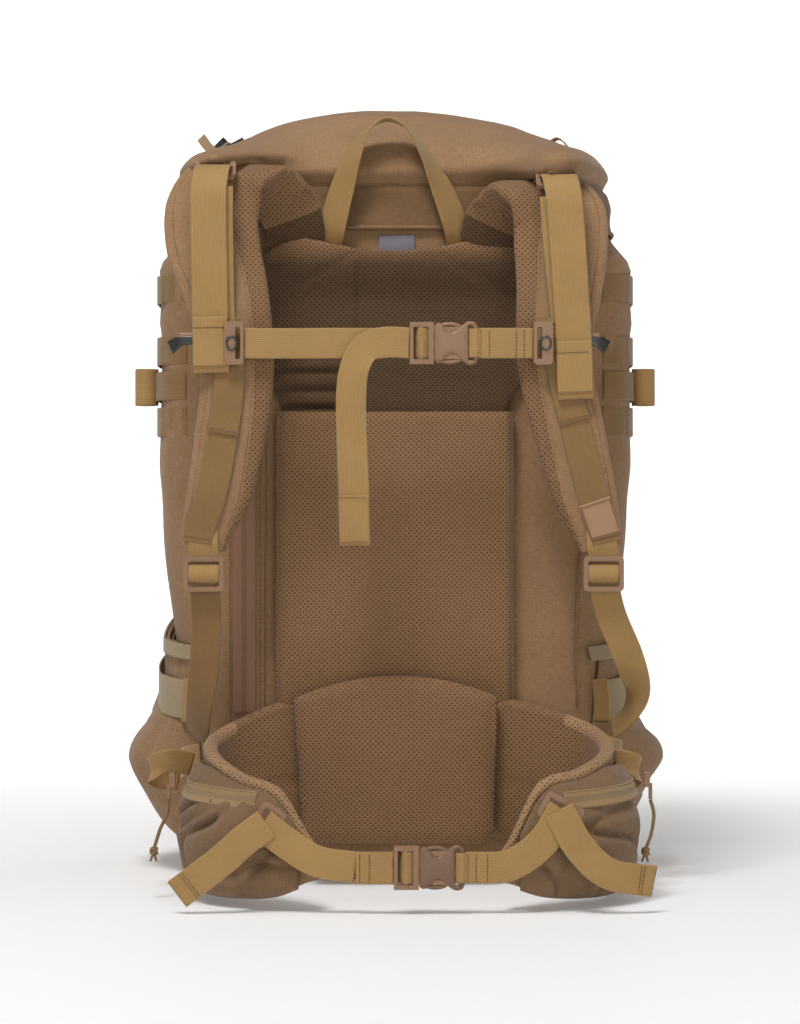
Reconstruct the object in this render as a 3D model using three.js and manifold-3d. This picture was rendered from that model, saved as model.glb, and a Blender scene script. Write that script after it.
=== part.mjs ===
// Hunting backpack: an internal-frame bag with a sliding shoulder harness, a padded hip belt,
// webbing rows on its sides and a lid that lifts off.
// Millimetres, +Z up. The harness side faces -Y and +X is to the right when facing the harness.
// The origin is the centre of the flat bottom of the bag.

import * as THREE from 'three';
import Module from 'manifold-3d';
import { mergeVertices } from 'three/addons/utils/BufferGeometryUtils.js';

const manifold = await Module();
manifold.setup();

// ---------------------------------------------------------------------------
// Driving dimensions
// ---------------------------------------------------------------------------

const GAP = 0.5; // clearance between two pieces that lie on each other
const WEBBING = 25.4; // width of every webbing strap
const WEBBING_THICK = 1.6;
const LEFT = -1; // side signs: the left side is at -X
const RIGHT = 1;

const BAG_WALL = 4;
const BAG_REAR_RADIUS = 70;
const BAG_FRONT_RADIUS = 85;
// height, half width, rear face, front face
const BAG_PROFILE = [
  [0, 150, -112, 106],
  [10, 162, -126, 118],
  [32, 172, -135, 127],
  [100, 186, -135, 134],
  [200, 196, -135, 136],
  [380, 203, -135, 136],
  [540, 203, -135, 134],
  [566, 190, -135, 130],
  [600, 176, -134, 122],
];

const LID_WALL = 3.5;
// height, half width, rear face, front face, corner radius
const LID_PROFILE = [
  [568, 195, -140, 138, 76],
  [592, 192, -140, 140, 78],
  [610, 184, -140, 138, 80],
  [634, 165, -130, 130, 82],
  [655, 138, -112, 114, 80],
  [672, 104, -84, 88, 70],
  [683, 52, -44, 46, 38],
];
const LID_TOP = 685;

const YOKE_REAR = -138.2;
const YOKE_THICK = 7;
const BACK_PAD_SLOT = -146.6; // front wall of the pocket that the yoke slides in
const BACK_PAD_FRONT = -157;
const BACK_PAD_TOP = 409;
const BACK_PAD_BOTTOM = 174;
const LUMBAR_THICK = 17;

const STRAP_TIP_HEIGHT = 292;
const LOCK_HEIGHT = 30;
const LOCK_WIDTH = 34;

const STERNUM_HEIGHT = 462.5;
const STERNUM_PLANE = -246;
const STERNUM_BUCKLE_X = 41;
const WAIST_HEIGHT = 38;
const WAIST_PLANE = -344;
const WAIST_BUCKLE_X = 28;

const BELT_THICK = 14;

// ---------------------------------------------------------------------------
// Materials
// ---------------------------------------------------------------------------

const material = (color, roughness, metalness = 0) =>
  new THREE.MeshStandardMaterial({ color, roughness, metalness });

const packFabric = material('#7d6148', 0.85);
const airMesh = material('#6f5440', 0.95);
const webbingTape = material('#97784a', 0.75);
const tanPlastic = material('#8a6a52', 0.45);
const blackPlastic = material('#1d1c1b', 0.4);
const zipTape = material('#80614e', 0.85);
const labelCloth = material('#716a6f', 0.8);
const cordRope = material('#7c6642', 0.8);
const frameAluminium = material('#b4b6b8', 0.35, 0.9);
const frameBoard = material('#26262a', 0.5);

// ---------------------------------------------------------------------------
// Solid-building helpers
// ---------------------------------------------------------------------------

const vec = (x, y, z) => new THREE.Vector3(x, y, z);

// Turns every face of a closed geometry outwards.
function facingOut(geometry) {
  const p = geometry.attributes.position;
  const index = geometry.index.array;
  const [a, b, c] = [vec(), vec(), vec()];
  let volume = 0;
  for (let i = 0; i < index.length; i += 3) {
    a.fromBufferAttribute(p, index[i]);
    b.fromBufferAttribute(p, index[i + 1]);
    c.fromBufferAttribute(p, index[i + 2]);
    volume += a.dot(b.cross(c));
  }
  if (volume < 0) {
    for (let i = 0; i < index.length; i += 3) {
      [index[i + 1], index[i + 2]] = [index[i + 2], index[i + 1]];
    }
  }
  geometry.computeVertexNormals();
  return geometry;
}

// Triangles that fill a ring of points, wound the same way as the ring.
function capFaces(ring) {
  const normal = vec(0, 0, 0);
  ring.forEach((p, i) => normal.add(p.clone().cross(ring[(i + 1) % ring.length])));
  normal.normalize();
  const u = (Math.abs(normal.z) > 0.7 ? vec(1, 0, 0) : vec(0, 0, 1)).cross(normal).normalize();
  const v = normal.clone().cross(u);
  const flat = ring.map((p) => new THREE.Vector2(p.dot(u), p.dot(v)));
  return THREE.ShapeUtils.triangulateShape(flat, []).map(([a, b, c]) => {
    const turn = flat[b].clone().sub(flat[a]).cross(flat[c].clone().sub(flat[a]));
    return turn > 0 ? [a, b, c] : [a, c, b];
  });
}

// A closed solid through a list of rings with equal numbers of points, capped at both ends.
function loft(rings) {
  const count = rings[0].length;
  const points = rings.flat();
  const faces = [];
  for (let r = 0; r < rings.length - 1; r++) {
    for (let i = 0; i < count; i++) {
      const next = (i + 1) % count;
      const [a, b] = [r * count + i, r * count + next];
      const [c, d] = [b + count, a + count];
      faces.push(a, b, c, a, c, d);
    }
  }
  const last = (rings.length - 1) * count;
  for (const [a, b, c] of capFaces(rings[0])) faces.push(a, c, b);
  for (const [a, b, c] of capFaces(rings.at(-1))) faces.push(last + a, last + b, last + c);
  const geometry = new THREE.BufferGeometry();
  geometry.setAttribute('position', new THREE.Float32BufferAttribute(points.flatMap((p) => p.toArray()), 3));
  geometry.setIndex(faces);
  return facingOut(geometry);
}

// Value of a list of numbers or vectors at t from 0 to 1, or the value itself if it isn't a list.
function along(list, t) {
  if (!Array.isArray(list)) return list;
  const place = t * (list.length - 1);
  const i = Math.min(Math.floor(place), list.length - 2);
  const part = place - i;
  const [a, b] = [list[i], list[i + 1]];
  return a.isVector3 ? a.clone().lerp(b, part) : a + (b - a) * part;
}

// Corners of a flat section: a rectangle, with its corners cut by edge where that is over 0.
function sectionCorners(width, thick, edge) {
  const [w, h] = [width / 2, thick / 2];
  if (edge === 0) return [[-w, -h], [w, -h], [w, h], [-w, h]];
  return [
    [-w + edge, -h], [w - edge, -h], [w, -h + edge], [w, h - edge],
    [w - edge, h], [-w + edge, h], [-w, h - edge], [-w, -h + edge],
  ];
}

// Point, width direction and face direction of a strap at t along its smooth route.
function strapFrame(route, across, t) {
  const line = new THREE.CatmullRomCurve3(route, false, 'centripetal');
  const point = line.getPoint(t);
  const tangent = line.getTangent(t);
  const wide = along(across, t).clone();
  wide.addScaledVector(tangent, -wide.dot(tangent)).normalize();
  return { point, wide, face: tangent.clone().cross(wide).normalize() };
}

// A strap: a flat section swept along a smooth route through hand-placed points.
function strap({ route, across, width = WEBBING, thick = WEBBING_THICK, steps = 20, edge = 0,
  lift = 0, from = 0, to = 1 }) {
  const rings = [];
  for (let i = 0; i <= steps; i++) {
    const t = from + (to - from) * i / steps;
    const { point, wide, face } = strapFrame(route, across, t);
    rings.push(sectionCorners(along(width, t), along(thick, t), edge).map(([u, v]) =>
      point.clone().addScaledVector(wide, u).addScaledVector(face, v + lift)));
  }
  return loft(rings);
}

// The same geometry on the other side of the body.
function mirrored(geometry) {
  const copy = geometry.clone();
  copy.scale(-1, 1, 1);
  return facingOut(copy);
}

const mirrorRoute = (points) => points.map((p) => vec(-p.x, p.y, p.z));

function toSolid(geometry) {
  const bare = geometry.clone();
  bare.deleteAttribute('normal');
  bare.deleteAttribute('uv');
  const merged = mergeVertices(bare, 1e-3);
  return new manifold.Manifold(new manifold.Mesh({
    numProp: 3,
    vertProperties: new Float32Array(merged.attributes.position.array),
    triVerts: new Uint32Array(merged.index.array),
  }));
}

function fromSolid(solid) {
  const mesh = solid.getMesh();
  const geometry = new THREE.BufferGeometry();
  geometry.setAttribute('position', new THREE.BufferAttribute(mesh.vertProperties, 3));
  geometry.setIndex(new THREE.BufferAttribute(mesh.triVerts, 1));
  geometry.computeVertexNormals();
  return geometry;
}

const join = (first, ...rest) =>
  fromSolid(rest.reduce((solid, extra) => solid.add(toSolid(extra)), toSolid(first)));
const cut = (first, ...rest) =>
  fromSolid(rest.reduce((solid, hole) => solid.subtract(toSolid(hole)), toSolid(first)));

function block(x0, x1, y0, y1, z0, z1) {
  const box = new THREE.BoxGeometry(x1 - x0, y1 - y0, z1 - z0);
  return box.translate((x0 + x1) / 2, (y0 + y1) / 2, (z0 + z1) / 2);
}

// A rounded rectangle centred on the origin.
function roundedRect(path, width, height, radius) {
  const [w, h] = [width / 2, height / 2];
  path.moveTo(-w + radius, -h);
  path.lineTo(w - radius, -h);
  path.absarc(w - radius, -h + radius, radius, -Math.PI / 2, 0);
  path.lineTo(w, h - radius);
  path.absarc(w - radius, h - radius, radius, 0, Math.PI / 2);
  path.lineTo(-w + radius, h);
  path.absarc(-w + radius, h - radius, radius, Math.PI / 2, Math.PI);
  path.lineTo(-w, -h + radius);
  path.absarc(-w + radius, -h + radius, radius, Math.PI, Math.PI * 1.5);
  return path;
}

// A plate in the XZ plane, cut from an outline, with its thickness along Y.
function plate(shape, thick, curveSegments = 3) {
  const geometry = new THREE.ExtrudeGeometry(shape, { depth: thick, bevelEnabled: false, curveSegments });
  return geometry.translate(0, 0, -thick / 2).rotateX(Math.PI / 2);
}

const group = new THREE.Group();

function add(name, geometry, look, place = vec(0, 0, 0)) {
  const mesh = new THREE.Mesh(geometry, look);
  mesh.name = name;
  mesh.position.copy(place);
  group.add(mesh);
  return mesh;
}

// ---------------------------------------------------------------------------
// The bag's outside surface, which the pieces sewn on it follow
// ---------------------------------------------------------------------------

function profileAt(profile, z) {
  let i = 0;
  while (i < profile.length - 2 && profile[i + 1][0] < z) i++;
  const [low, high] = [profile[i], profile[i + 1]];
  const t = THREE.MathUtils.clamp((z - low[0]) / (high[0] - low[0]), 0, 1);
  return low.slice(1).map((value, k) => value + (high[k + 1] - value) * t);
}

// Half width of the bag at depth y and height z.
function bagSide(y, z) {
  const [half, rear, front] = profileAt(BAG_PROFILE, z);
  const radius = y < 0 ? BAG_REAR_RADIUS : BAG_FRONT_RADIUS;
  const centre = y < 0 ? rear + radius : front - radius;
  const into = y < 0 ? centre - y : y - centre;
  return into <= 0 ? half : half - radius + Math.sqrt(Math.max(radius ** 2 - into ** 2, 0));
}

// Depth of the bag's rear face at x and height z.
function bagRear(x, z) {
  const [half, rear] = profileAt(BAG_PROFILE, z);
  const into = Math.abs(x) - (half - BAG_REAR_RADIUS);
  if (into <= 0) return rear;
  return rear + BAG_REAR_RADIUS - Math.sqrt(Math.max(BAG_REAR_RADIUS ** 2 - into ** 2, 0));
}

// A rounded outline around the body at one height.
function bodyRing(half, rear, front, rearRadius, frontRadius, z, cornerSteps = 6) {
  const corners = [
    [half - frontRadius, front - frontRadius, frontRadius, 0],
    [-half + frontRadius, front - frontRadius, frontRadius, 1],
    [-half + rearRadius, rear + rearRadius, rearRadius, 2],
    [half - rearRadius, rear + rearRadius, rearRadius, 3],
  ];
  return corners.flatMap(([x, y, radius, quarter]) =>
    Array.from({ length: cornerSteps + 1 }, (_, i) => {
      const angle = (quarter + i / cornerSteps) * Math.PI / 2;
      return vec(x + radius * Math.cos(angle), y + radius * Math.sin(angle), z);
    }));
}

// ---------------------------------------------------------------------------
// Bag, frame and back padding
// ---------------------------------------------------------------------------

function mainBag() {
  const outer = BAG_PROFILE.map(([z, half, rear, front]) =>
    bodyRing(half, rear, front, BAG_REAR_RADIUS, BAG_FRONT_RADIUS, z));
  const inner = BAG_PROFILE.map(([z, half, rear, front]) =>
    bodyRing(half - BAG_WALL, rear + BAG_WALL, front - BAG_WALL,
      BAG_REAR_RADIUS - BAG_WALL, BAG_FRONT_RADIUS - BAG_WALL, Math.max(z, BAG_WALL)));
  return loft([...outer, ...inner.reverse()]);
}

function frameSheet() {
  const shape = roundedRect(new THREE.Shape(), 200, 520, 24);
  return plate(shape, 2).translate(0, -129.3, 300);
}

// One bent rod that runs up both sides of the frame sheet and across its top.
function frameHoop() {
  const [halfWidth, low, high, bend] = [84, 45, 540, 40];
  const route = [vec(-halfWidth, 0, low), vec(-halfWidth, 0, (low + high) / 2), vec(-halfWidth, 0, high - bend)];
  for (let i = 1; i <= 3; i++) {
    const angle = Math.PI - i * Math.PI / 6;
    route.push(vec(-halfWidth + bend + bend * Math.cos(angle), 0, high - bend + bend * Math.sin(angle)));
  }
  const full = [...route, ...mirrorRoute(route).reverse()];
  const line = new THREE.CatmullRomCurve3(full, false, 'centripetal');
  const rod = new THREE.Shape().absarc(0, 0, 3, 0, Math.PI * 2);
  const geometry = new THREE.ExtrudeGeometry(rod, { steps: 40, extrudePath: line, curveSegments: 4 });
  return geometry.translate(0, -124.5, 0);
}

// The lower back pad is sewn down along both sides, which leaves a pocket for the yoke behind it.
function backPad() {
  const [half, lip, round] = [108, 6, 6];
  const sewn = -135 - GAP;
  const shape = new THREE.Shape([
    [-half, sewn], [-half, BACK_PAD_FRONT + round], [-half + round, BACK_PAD_FRONT],
    [half - round, BACK_PAD_FRONT], [half, BACK_PAD_FRONT + round], [half, sewn],
    [half - lip, sewn], [half - lip, BACK_PAD_SLOT], [-half + lip, BACK_PAD_SLOT], [-half + lip, sewn],
  ].map(([x, y]) => new THREE.Vector2(x, y)));
  const height = BACK_PAD_TOP - BACK_PAD_BOTTOM;
  const geometry = new THREE.ExtrudeGeometry(shape, { depth: height, bevelEnabled: false });
  return geometry.translate(0, 0, BACK_PAD_BOTTOM);
}

function lumbarPad() {
  const shape = new THREE.Shape();
  shape.moveTo(-70, 38);
  shape.lineTo(72, 38);
  shape.quadraticCurveTo(84, 38, 85, 52);
  shape.lineTo(88, 164);
  shape.quadraticCurveTo(0, 200, -87, 162);
  shape.lineTo(-80, 52);
  shape.quadraticCurveTo(-79, 38, -70, 38);
  return plate(shape, LUMBAR_THICK, 8).translate(0, BACK_PAD_FRONT - GAP - LUMBAR_THICK / 2 - 0.5, 0);
}

// ---------------------------------------------------------------------------
// Pieces sewn round the bag
// ---------------------------------------------------------------------------

// A flat strip along the bag's side, between two heights and two depths.
function sideStrip(side, y0, y1, z0, z1, off, thick = WEBBING_THICK, steps = 12) {
  const rings = [];
  for (let i = 0; i <= steps; i++) {
    const y = y0 + (y1 - y0) * i / steps;
    const [low, high] = [bagSide(y, z0) + off, bagSide(y, z1) + off];
    rings.push([
      vec(side * low, y, z0), vec(side * (low + thick), y, z0),
      vec(side * (high + thick), y, z1), vec(side * high, y, z1),
    ]);
  }
  return loft(rings);
}

// Compression strap: runs round the side, and its spare end is rolled up in an elastic keeper.
function compressionStrap(side) {
  const [low, off] = [420.5, 3.6];
  const band = sideStrip(side, -104, 70, low, low + WEBBING, off, WEBBING_THICK, 14);
  const roll = new THREE.Shape().absarc(0, 0, 12, 0, Math.PI * 2);
  const rollGeometry = new THREE.ExtrudeGeometry(roll, { depth: 33, bevelEnabled: false, curveSegments: 8 });
  const x = bagSide(-62, low) + off + WEBBING_THICK + 11;
  rollGeometry.translate(side * x, -62, low - 4);
  return join(band, rollGeometry);
}

// An open-topped pocket on the side of the bag, full at its foot and gathered at its rim.
function sidePocket(side) {
  const [rear, front, wall, hem, count] = [-112, 78, 2.5, 10, 12];
  // height, how far it stands out from the bag
  const fullness = [[18, 8], [32, 24], [44, 34], [76, 48], [100, 52], [116, 46], [134, 32], [160, 16], [205, 13]];
  const rimSlope = (y, z) => (z > 150 ? (y - rear) * 0.12 : 0);
  const reach = (y, bulge) => bulge * Math.max(Math.sin(Math.PI * (y - rear) / (front - rear)), 0) ** 0.6 + 2.6;
  const ring = (z, low, high, back, out) => {
    const stations = Array.from({ length: count + 1 }, (_, i) =>
      low + (high - low) * (1 - Math.cos(Math.PI * i / count)) / 2);
    const edge = (offset) => (y) => {
      const height = z + rimSlope(y, z);
      return vec(side * (bagSide(y, height) + offset(y)), y, height);
    };
    return [...stations.map(edge(out)), ...stations.toReversed().map(edge(() => back))];
  };
  const outer = fullness.map(([z, bulge]) => ring(z, rear, front, 1.6, (y) => reach(y, bulge)));
  const inner = fullness.map(([z, bulge]) => ring(Math.max(z, fullness[0][0] + wall), rear + hem, front - hem,
    2.4, (y) => Math.max(reach(y, bulge) - wall, 3.2)));
  return loft([...outer, ...inner.reverse()]);
}

// The open-topped pocket on the bag's front face.
function frontPocket() {
  const wall = 2.5;
  // height, half width, how far it stands out
  const fullness = [[48, 104, 10], [72, 118, 24], [100, 122, 30], [200, 124, 31], [300, 122, 28], [392, 118, 18]];
  const ring = (z, half, out, inset) => {
    const front = profileAt(BAG_PROFILE, z)[2];
    const back = front + 1 + inset * 0.4;
    const face = front + out - inset;
    const [w, slant] = [half - inset, Math.min(30, half / 3)];
    return [[-w, back], [w, back], [w, back + 3], [w - slant, face], [-w + slant, face], [-w, back + 3]]
      .map(([x, y]) => vec(x, y, z));
  };
  const outer = fullness.map(([z, half, out]) => ring(z, half, out, 0));
  const inner = fullness.map(([z, half, out]) => ring(Math.max(z, fullness[0][0] + wall), half, out, wall));
  return loft([...outer, ...inner.reverse()]);
}

// Zip tape on the bag's rear left edge, for reaching in from the side.
function sideZipTape() {
  const [x0, x1, low, high, thick, steps] = [-141, -121, 147, 376, 1.2, 4];
  const rings = [];
  for (let i = 0; i <= steps; i++) {
    const z = low + (high - low) * i / steps;
    const face = (x, off) => vec(x, bagRear(x, z) - off, z);
    const middle = (x0 + x1) / 2;
    rings.push([face(x0, GAP), face(middle, GAP), face(x1, GAP),
      face(x1, GAP + thick), face(middle, GAP + thick), face(x0, GAP + thick)]);
  }
  return loft(rings);
}

// Webbing from the bag's lower corner up behind the ladder lock.
function lowerStrap(route) {
  const across = [vec(1, 0, 0), vec(1, 0, 0), vec(1, 0, 0), vec(1, 0, 0)];
  return strap({ route, across, steps: 16 });
}

// ---------------------------------------------------------------------------
// Hip belt: each wing leaves the back beside the lumbar pad and curves round to the front
// ---------------------------------------------------------------------------

// plan position, lower edge, upper edge of each wing from its root to its tip
const WING = {
  left: {
    side: LEFT,
    plan: [[-60, -148], [-96, -149], [-130, -159], [-150, -184], [-155, -220],
      [-146, -258], [-122, -290], [-92, -312], [-62, -326]],
    low: [46, 38, 28, 18, 12, 9, 10, 14, 26],
    high: [150, 158, 146, 136, 130, 120, 108, 97, 54],
  },
  right: {
    side: RIGHT,
    plan: [[60, -148], [96, -149], [135, -158], [165, -181], [178, -218],
      [171, -258], [148, -290], [116, -312], [86, -326]],
    low: [46, 38, 28, 18, 12, 9, 10, 14, 24],
    high: [150, 160, 152, 142, 132, 122, 112, 102, 50],
  },
};

// Centre, outward direction and edges of a wing at t from 0 at its root to 1 at its tip.
function wingFrame(wing, t) {
  const line = new THREE.CatmullRomCurve3(wing.plan.map(([x, y]) => vec(x, y, 0)), false, 'centripetal');
  const heading = line.getTangent(t);
  const outward = vec(heading.y, -heading.x, 0).multiplyScalar(-wing.side);
  return { point: line.getPoint(t), outward, low: along(wing.low, t), high: along(wing.high, t) };
}

// A solid that follows a wing between two offsets from its middle.
function wingLayer(wing, { from, to, steps, near, far, low, high, edge }) {
  const rings = [];
  for (let i = 0; i <= steps; i++) {
    const part = i / steps;
    const frame = wingFrame(wing, from + (to - from) * part);
    const [z0, z1] = [low(frame, part), high(frame, part)];
    const [a, b] = [near(part), far(part)];
    const cutBack = Math.min(edge, (b - a) / 3);
    rings.push([
      [a, z0 + cutBack], [a + cutBack, z0], [b - cutBack, z0], [b, z0 + cutBack],
      [b, z1 - cutBack], [b - cutBack, z1], [a + cutBack, z1], [a, z1 - cutBack],
    ].map(([off, z]) => frame.point.clone().addScaledVector(frame.outward, off).setZ(z)));
  }
  return loft(rings);
}

function beltWing(wing) {
  const half = (part) => (part < 0.8 ? BELT_THICK / 2 : BELT_THICK / 2 - (part - 0.8) * 14);
  return wingLayer(wing, {
    from: 0, to: 1, steps: 24, edge: 4,
    near: (part) => -half(part), far: half,
    low: (frame) => frame.low, high: (frame) => frame.high,
  });
}

const POCKET_BULGE = [2, 12, 20, 24, 25, 24, 21, 16, 3];

function beltPocket(wing) {
  const skin = BELT_THICK / 2 + 0.8;
  return wingLayer(wing, {
    from: 0.44, to: 0.95, steps: 16, edge: 6,
    near: () => skin,
    far: (part) => skin + along(POCKET_BULGE, part),
    low: (frame) => frame.low - 4,
    high: (frame) => Math.min(frame.high - 7, 112),
  });
}

// ---------------------------------------------------------------------------
// Shoulder straps
// ---------------------------------------------------------------------------

// Middle line of each strap from its root on the yoke, over the shoulder and down to its tip.
const STRAP_ROUTE = {
  left: [
    vec(-84, -153, 526), vec(-86, -154, 560), vec(-98, -161, 588), vec(-118, -175, 604),
    vec(-140, -191, 600), vec(-154, -204, 578), vec(-153, -213, 546), vec(-143, -221, 512),
    vec(-135, -226, 475), vec(-132, -228, 435), vec(-138, -226, 385), vec(-148, -221, 336),
    vec(-158, -215, 308), vec(-161, -213, STRAP_TIP_HEIGHT),
  ],
  right: [
    vec(80, -153, 526), vec(82, -154, 556), vec(92, -161, 581), vec(108, -175, 596),
    vec(126, -191, 592), vec(139, -204, 572), vec(140, -213, 542), vec(138, -221, 508),
    vec(134, -226, 475), vec(134, -228, 442), vec(145, -226, 395), vec(159, -221, 340),
    vec(170, -215, 308), vec(174, -213, STRAP_TIP_HEIGHT),
  ],
};
const STRAP_ACROSS = {
  left: [
    vec(1, 0, 0), vec(1, 0, -0.1), vec(0.9, 0, -0.35), vec(0.95, -0.1, -0.2), vec(0.97, -0.15, 0),
    ...Array(9).fill(vec(1, 0, 0)),
  ],
  right: [
    vec(1, 0, 0), vec(1, 0, 0.1), vec(0.9, 0, 0.35), vec(0.95, 0.1, 0.2), vec(0.97, 0.15, 0),
    ...Array(9).fill(vec(1, 0, 0)),
  ],
};
const STRAP_WIDTH = [36, 42, 54, 64, 74, 80, 79, 72, 65, 61, 60, 54, 42, 36];
const STRAP_THICK = [8, 10, 12, 13, 13, 13, 13, 13, 13, 13, 13, 12, 10, 9];

const shoulderStrap = (side) => strap({
  route: STRAP_ROUTE[side], across: STRAP_ACROSS[side], width: STRAP_WIDTH, thick: STRAP_THICK,
  steps: 30, edge: 3,
});

// Webbing sewn down the outer face of a strap, from the sternum strap to the tip.
function strapRail(side, shift) {
  const route = STRAP_ROUTE[side].map((p) => vec(p.x + shift, p.y, p.z));
  return strap({ route, across: vec(1, 0, 0), steps: 16, from: 0.64, to: 0.97, lift: 13 / 2 + 0.6 + WEBBING_THICK / 2 });
}

// Webbing from the top of the bag over the strap, through its buckle, with its end hanging in front.
function loadLifter(route) {
  return strap({ route, across: vec(1, 0, 0), width: 28, steps: 22 });
}

// A frame that webbing threads through, with two windows. It lies in the XZ plane.
function ladderFrame(width, height, thick, bar = 4) {
  const shape = roundedRect(new THREE.Shape(), width, height, 4);
  const window = (height - 3 * bar) / 2;
  for (const centre of [-(window + bar) / 2, (window + bar) / 2]) {
    const hole = roundedRect(new THREE.Path(), width - 2 * bar, window, 1.2);
    const shifted = hole.getPoints(2).map((p) => new THREE.Vector2(p.x, p.y + centre));
    shape.holes.push(new THREE.Path(shifted));
  }
  return plate(shape, thick, 2);
}

function yokePad() {
  const shape = new THREE.Shape();
  shape.moveTo(-98, 330);
  shape.lineTo(98, 330);
  shape.lineTo(98, 540);
  shape.quadraticCurveTo(96, 556, 62, 560);
  shape.quadraticCurveTo(0, 538, -66, 560);
  shape.quadraticCurveTo(-96, 556, -98, 540);
  shape.lineTo(-98, 330);
  return plate(shape, YOKE_THICK, 8).translate(0, YOKE_REAR - YOKE_THICK / 2, 0);
}

// ---------------------------------------------------------------------------
// Buckles and clips
// ---------------------------------------------------------------------------

const BUCKLE = { length: 57, height: 35, thick: 11, socket: 6.6, tongue: 5.2 };

// Receiving half of a side-release buckle. Its mouth faces -X.
function buckleFemale() {
  const [tall, end] = [BUCKLE.height / 2, BUCKLE.length / 2];
  const shape = new THREE.Shape();
  shape.moveTo(-8, -tall + 2);
  shape.quadraticCurveTo(-8, -tall, -5, -tall);
  shape.lineTo(-1, -tall);
  shape.quadraticCurveTo(5, -tall + 6, 12, -tall);
  shape.lineTo(end - 3, -tall);
  shape.quadraticCurveTo(end, -tall, end, -tall + 3);
  shape.quadraticCurveTo(end - 4, 0, end, tall - 3);
  shape.quadraticCurveTo(end, tall, end - 3, tall);
  shape.lineTo(12, tall);
  shape.quadraticCurveTo(5, tall - 6, -1, tall);
  shape.lineTo(-5, tall);
  shape.quadraticCurveTo(-8, tall, -8, tall - 2);
  const socketHalf = BUCKLE.socket / 2;
  const socket = block(-9, 17.5, -socketHalf, socketHalf, -tall + 3, tall - 3);
  const slot = block(19.5, 23.5, -BUCKLE.thick, BUCKLE.thick, -13.5, 13.5);
  return cut(plate(shape, BUCKLE.thick, 4), socket, slot);
}

// Entering half of a side-release buckle: a two-bar adjuster, two side arms and a middle guide.
function buckleMale() {
  const [tall, half] = [BUCKLE.height / 2, BUCKLE.tongue / 2];
  const start = -BUCKLE.length / 2;
  const frame = block(start, -8.6, -3.6, 3.6, -tall, tall);
  const holes = [[start + 3, start + 7.5], [start + 11, start + 15.5]]
    .map(([a, b]) => block(a, b, -10, 10, -13.5, 13.5));
  const arms = [[-tall + 4, -tall + 8], [-2, 2], [tall - 8, tall - 4]]
    .map(([a, b]) => block(-9.5, 15.5, -half, half, a, b));
  return cut(join(frame, ...arms), ...holes);
}

// Clip that holds the sternum strap to a shoulder strap: a plate with two slots and a foot behind it.
function sternumClip() {
  const shape = roundedRect(new THREE.Shape(), 16, 36, 3);
  const slot = roundedRect(new THREE.Path(), 4, 26.5, 1);
  shape.holes.push(new THREE.Path(slot.getPoints(2).map((p) => new THREE.Vector2(p.x + 3, p.y))));
  const foot = block(-4, 1, 2, 8, -14, 14);
  return join(plate(shape, 6, 2), foot);
}

function zipSlider() {
  const body = block(-4, 4, -2.4, 2.4, -6, 6);
  const tab = block(-2.4, 2.4, -4.6, -1.8, -16, -3);
  return join(body, tab);
}

// A loop of thin cord seen as one doubled strand, ending in its knot.
function pullCord(route) {
  const section = new THREE.Shape().absarc(0, 0, 1.5, 0, Math.PI * 2);
  const line = new THREE.CatmullRomCurve3(route, false, 'centripetal');
  return new THREE.ExtrudeGeometry(section, { steps: 14, extrudePath: line, curveSegments: 4 });
}

// ---------------------------------------------------------------------------
// Lid and haul loop
// ---------------------------------------------------------------------------

// The lid is a cap: its skirt reaches down over the bag's rim.
function lid() {
  const ring = ([z, half, rear, front, radius], inset) =>
    bodyRing(half - inset, rear + inset, front - inset, radius - inset, radius - inset, z);
  const outer = LID_PROFILE.map((row) => ring(row, 0));
  const crown = ring([LID_TOP, 20, -20, 20, 16], 0);
  const inner = LID_PROFILE.map((row) => ring(row, LID_WALL).map((p, i, all) =>
    p.setZ(row === LID_PROFILE[0] ? p.z : p.z - LID_WALL)));
  const innerCrown = ring([LID_TOP - LID_WALL, 18, -18, 18, 14], 0);
  return loft([crown, ...outer.reverse(), ...inner, innerCrown]);
}

// Half width of the lid at its middle depth.
const lidSide = (z) => profileAt(LID_PROFILE, z)[0];

// Webbing down the left of the lid, with its spare end turned up.
function lidStrap() {
  const heights = [656, 646, 634, 622, 610, 598];
  const route = heights.map((z) => vec(-lidSide(z) - 3.4, -20, z + 1.5));
  return strap({ route, across: vec(0, 1, 0), width: 20, steps: 10 });
}

function lidBuckle() {
  const geometry = ladderFrame(26, 24, 5);
  return geometry.rotateZ(-Math.PI / 2).rotateY(0.78).translate(-162, -20, 651);
}

function haulLoop() {
  const route = [vec(-53, -149, 562.5), vec(-41, -152, 600), vec(-27, -156, 638), vec(-6, -157, 660),
    vec(17, -156, 642), vec(37, -152, 604), vec(52, -149, 562.5)];
  const across = [vec(0.87, -0.5, 0), vec(0.7, -0.7, 0), vec(0.3, -0.95, 0), vec(0, -1, 0),
    vec(-0.3, -0.95, 0), vec(-0.7, -0.7, 0), vec(-0.87, -0.5, 0)];
  return strap({ route, across, steps: 36 });
}

// ---------------------------------------------------------------------------
// Assembly
// ---------------------------------------------------------------------------

add('main_bag', mainBag(), packFabric);
add('frame_sheet', frameSheet(), frameBoard);
add('frame_hoop', frameHoop(), frameAluminium);
add('back_pad', backPad(), airMesh);
add('lumbar_pad', lumbarPad(), airMesh);
add('front_pocket', frontPocket(), packFabric);
add('side_zip_tape', sideZipTape(), zipTape);
add('side_zip_slider', zipSlider(), tanPlastic, vec(-131, -141.6, 366));
add('size_label', block(-14, 17, -136.9, -135.8, 541, 563), labelCloth);

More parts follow.
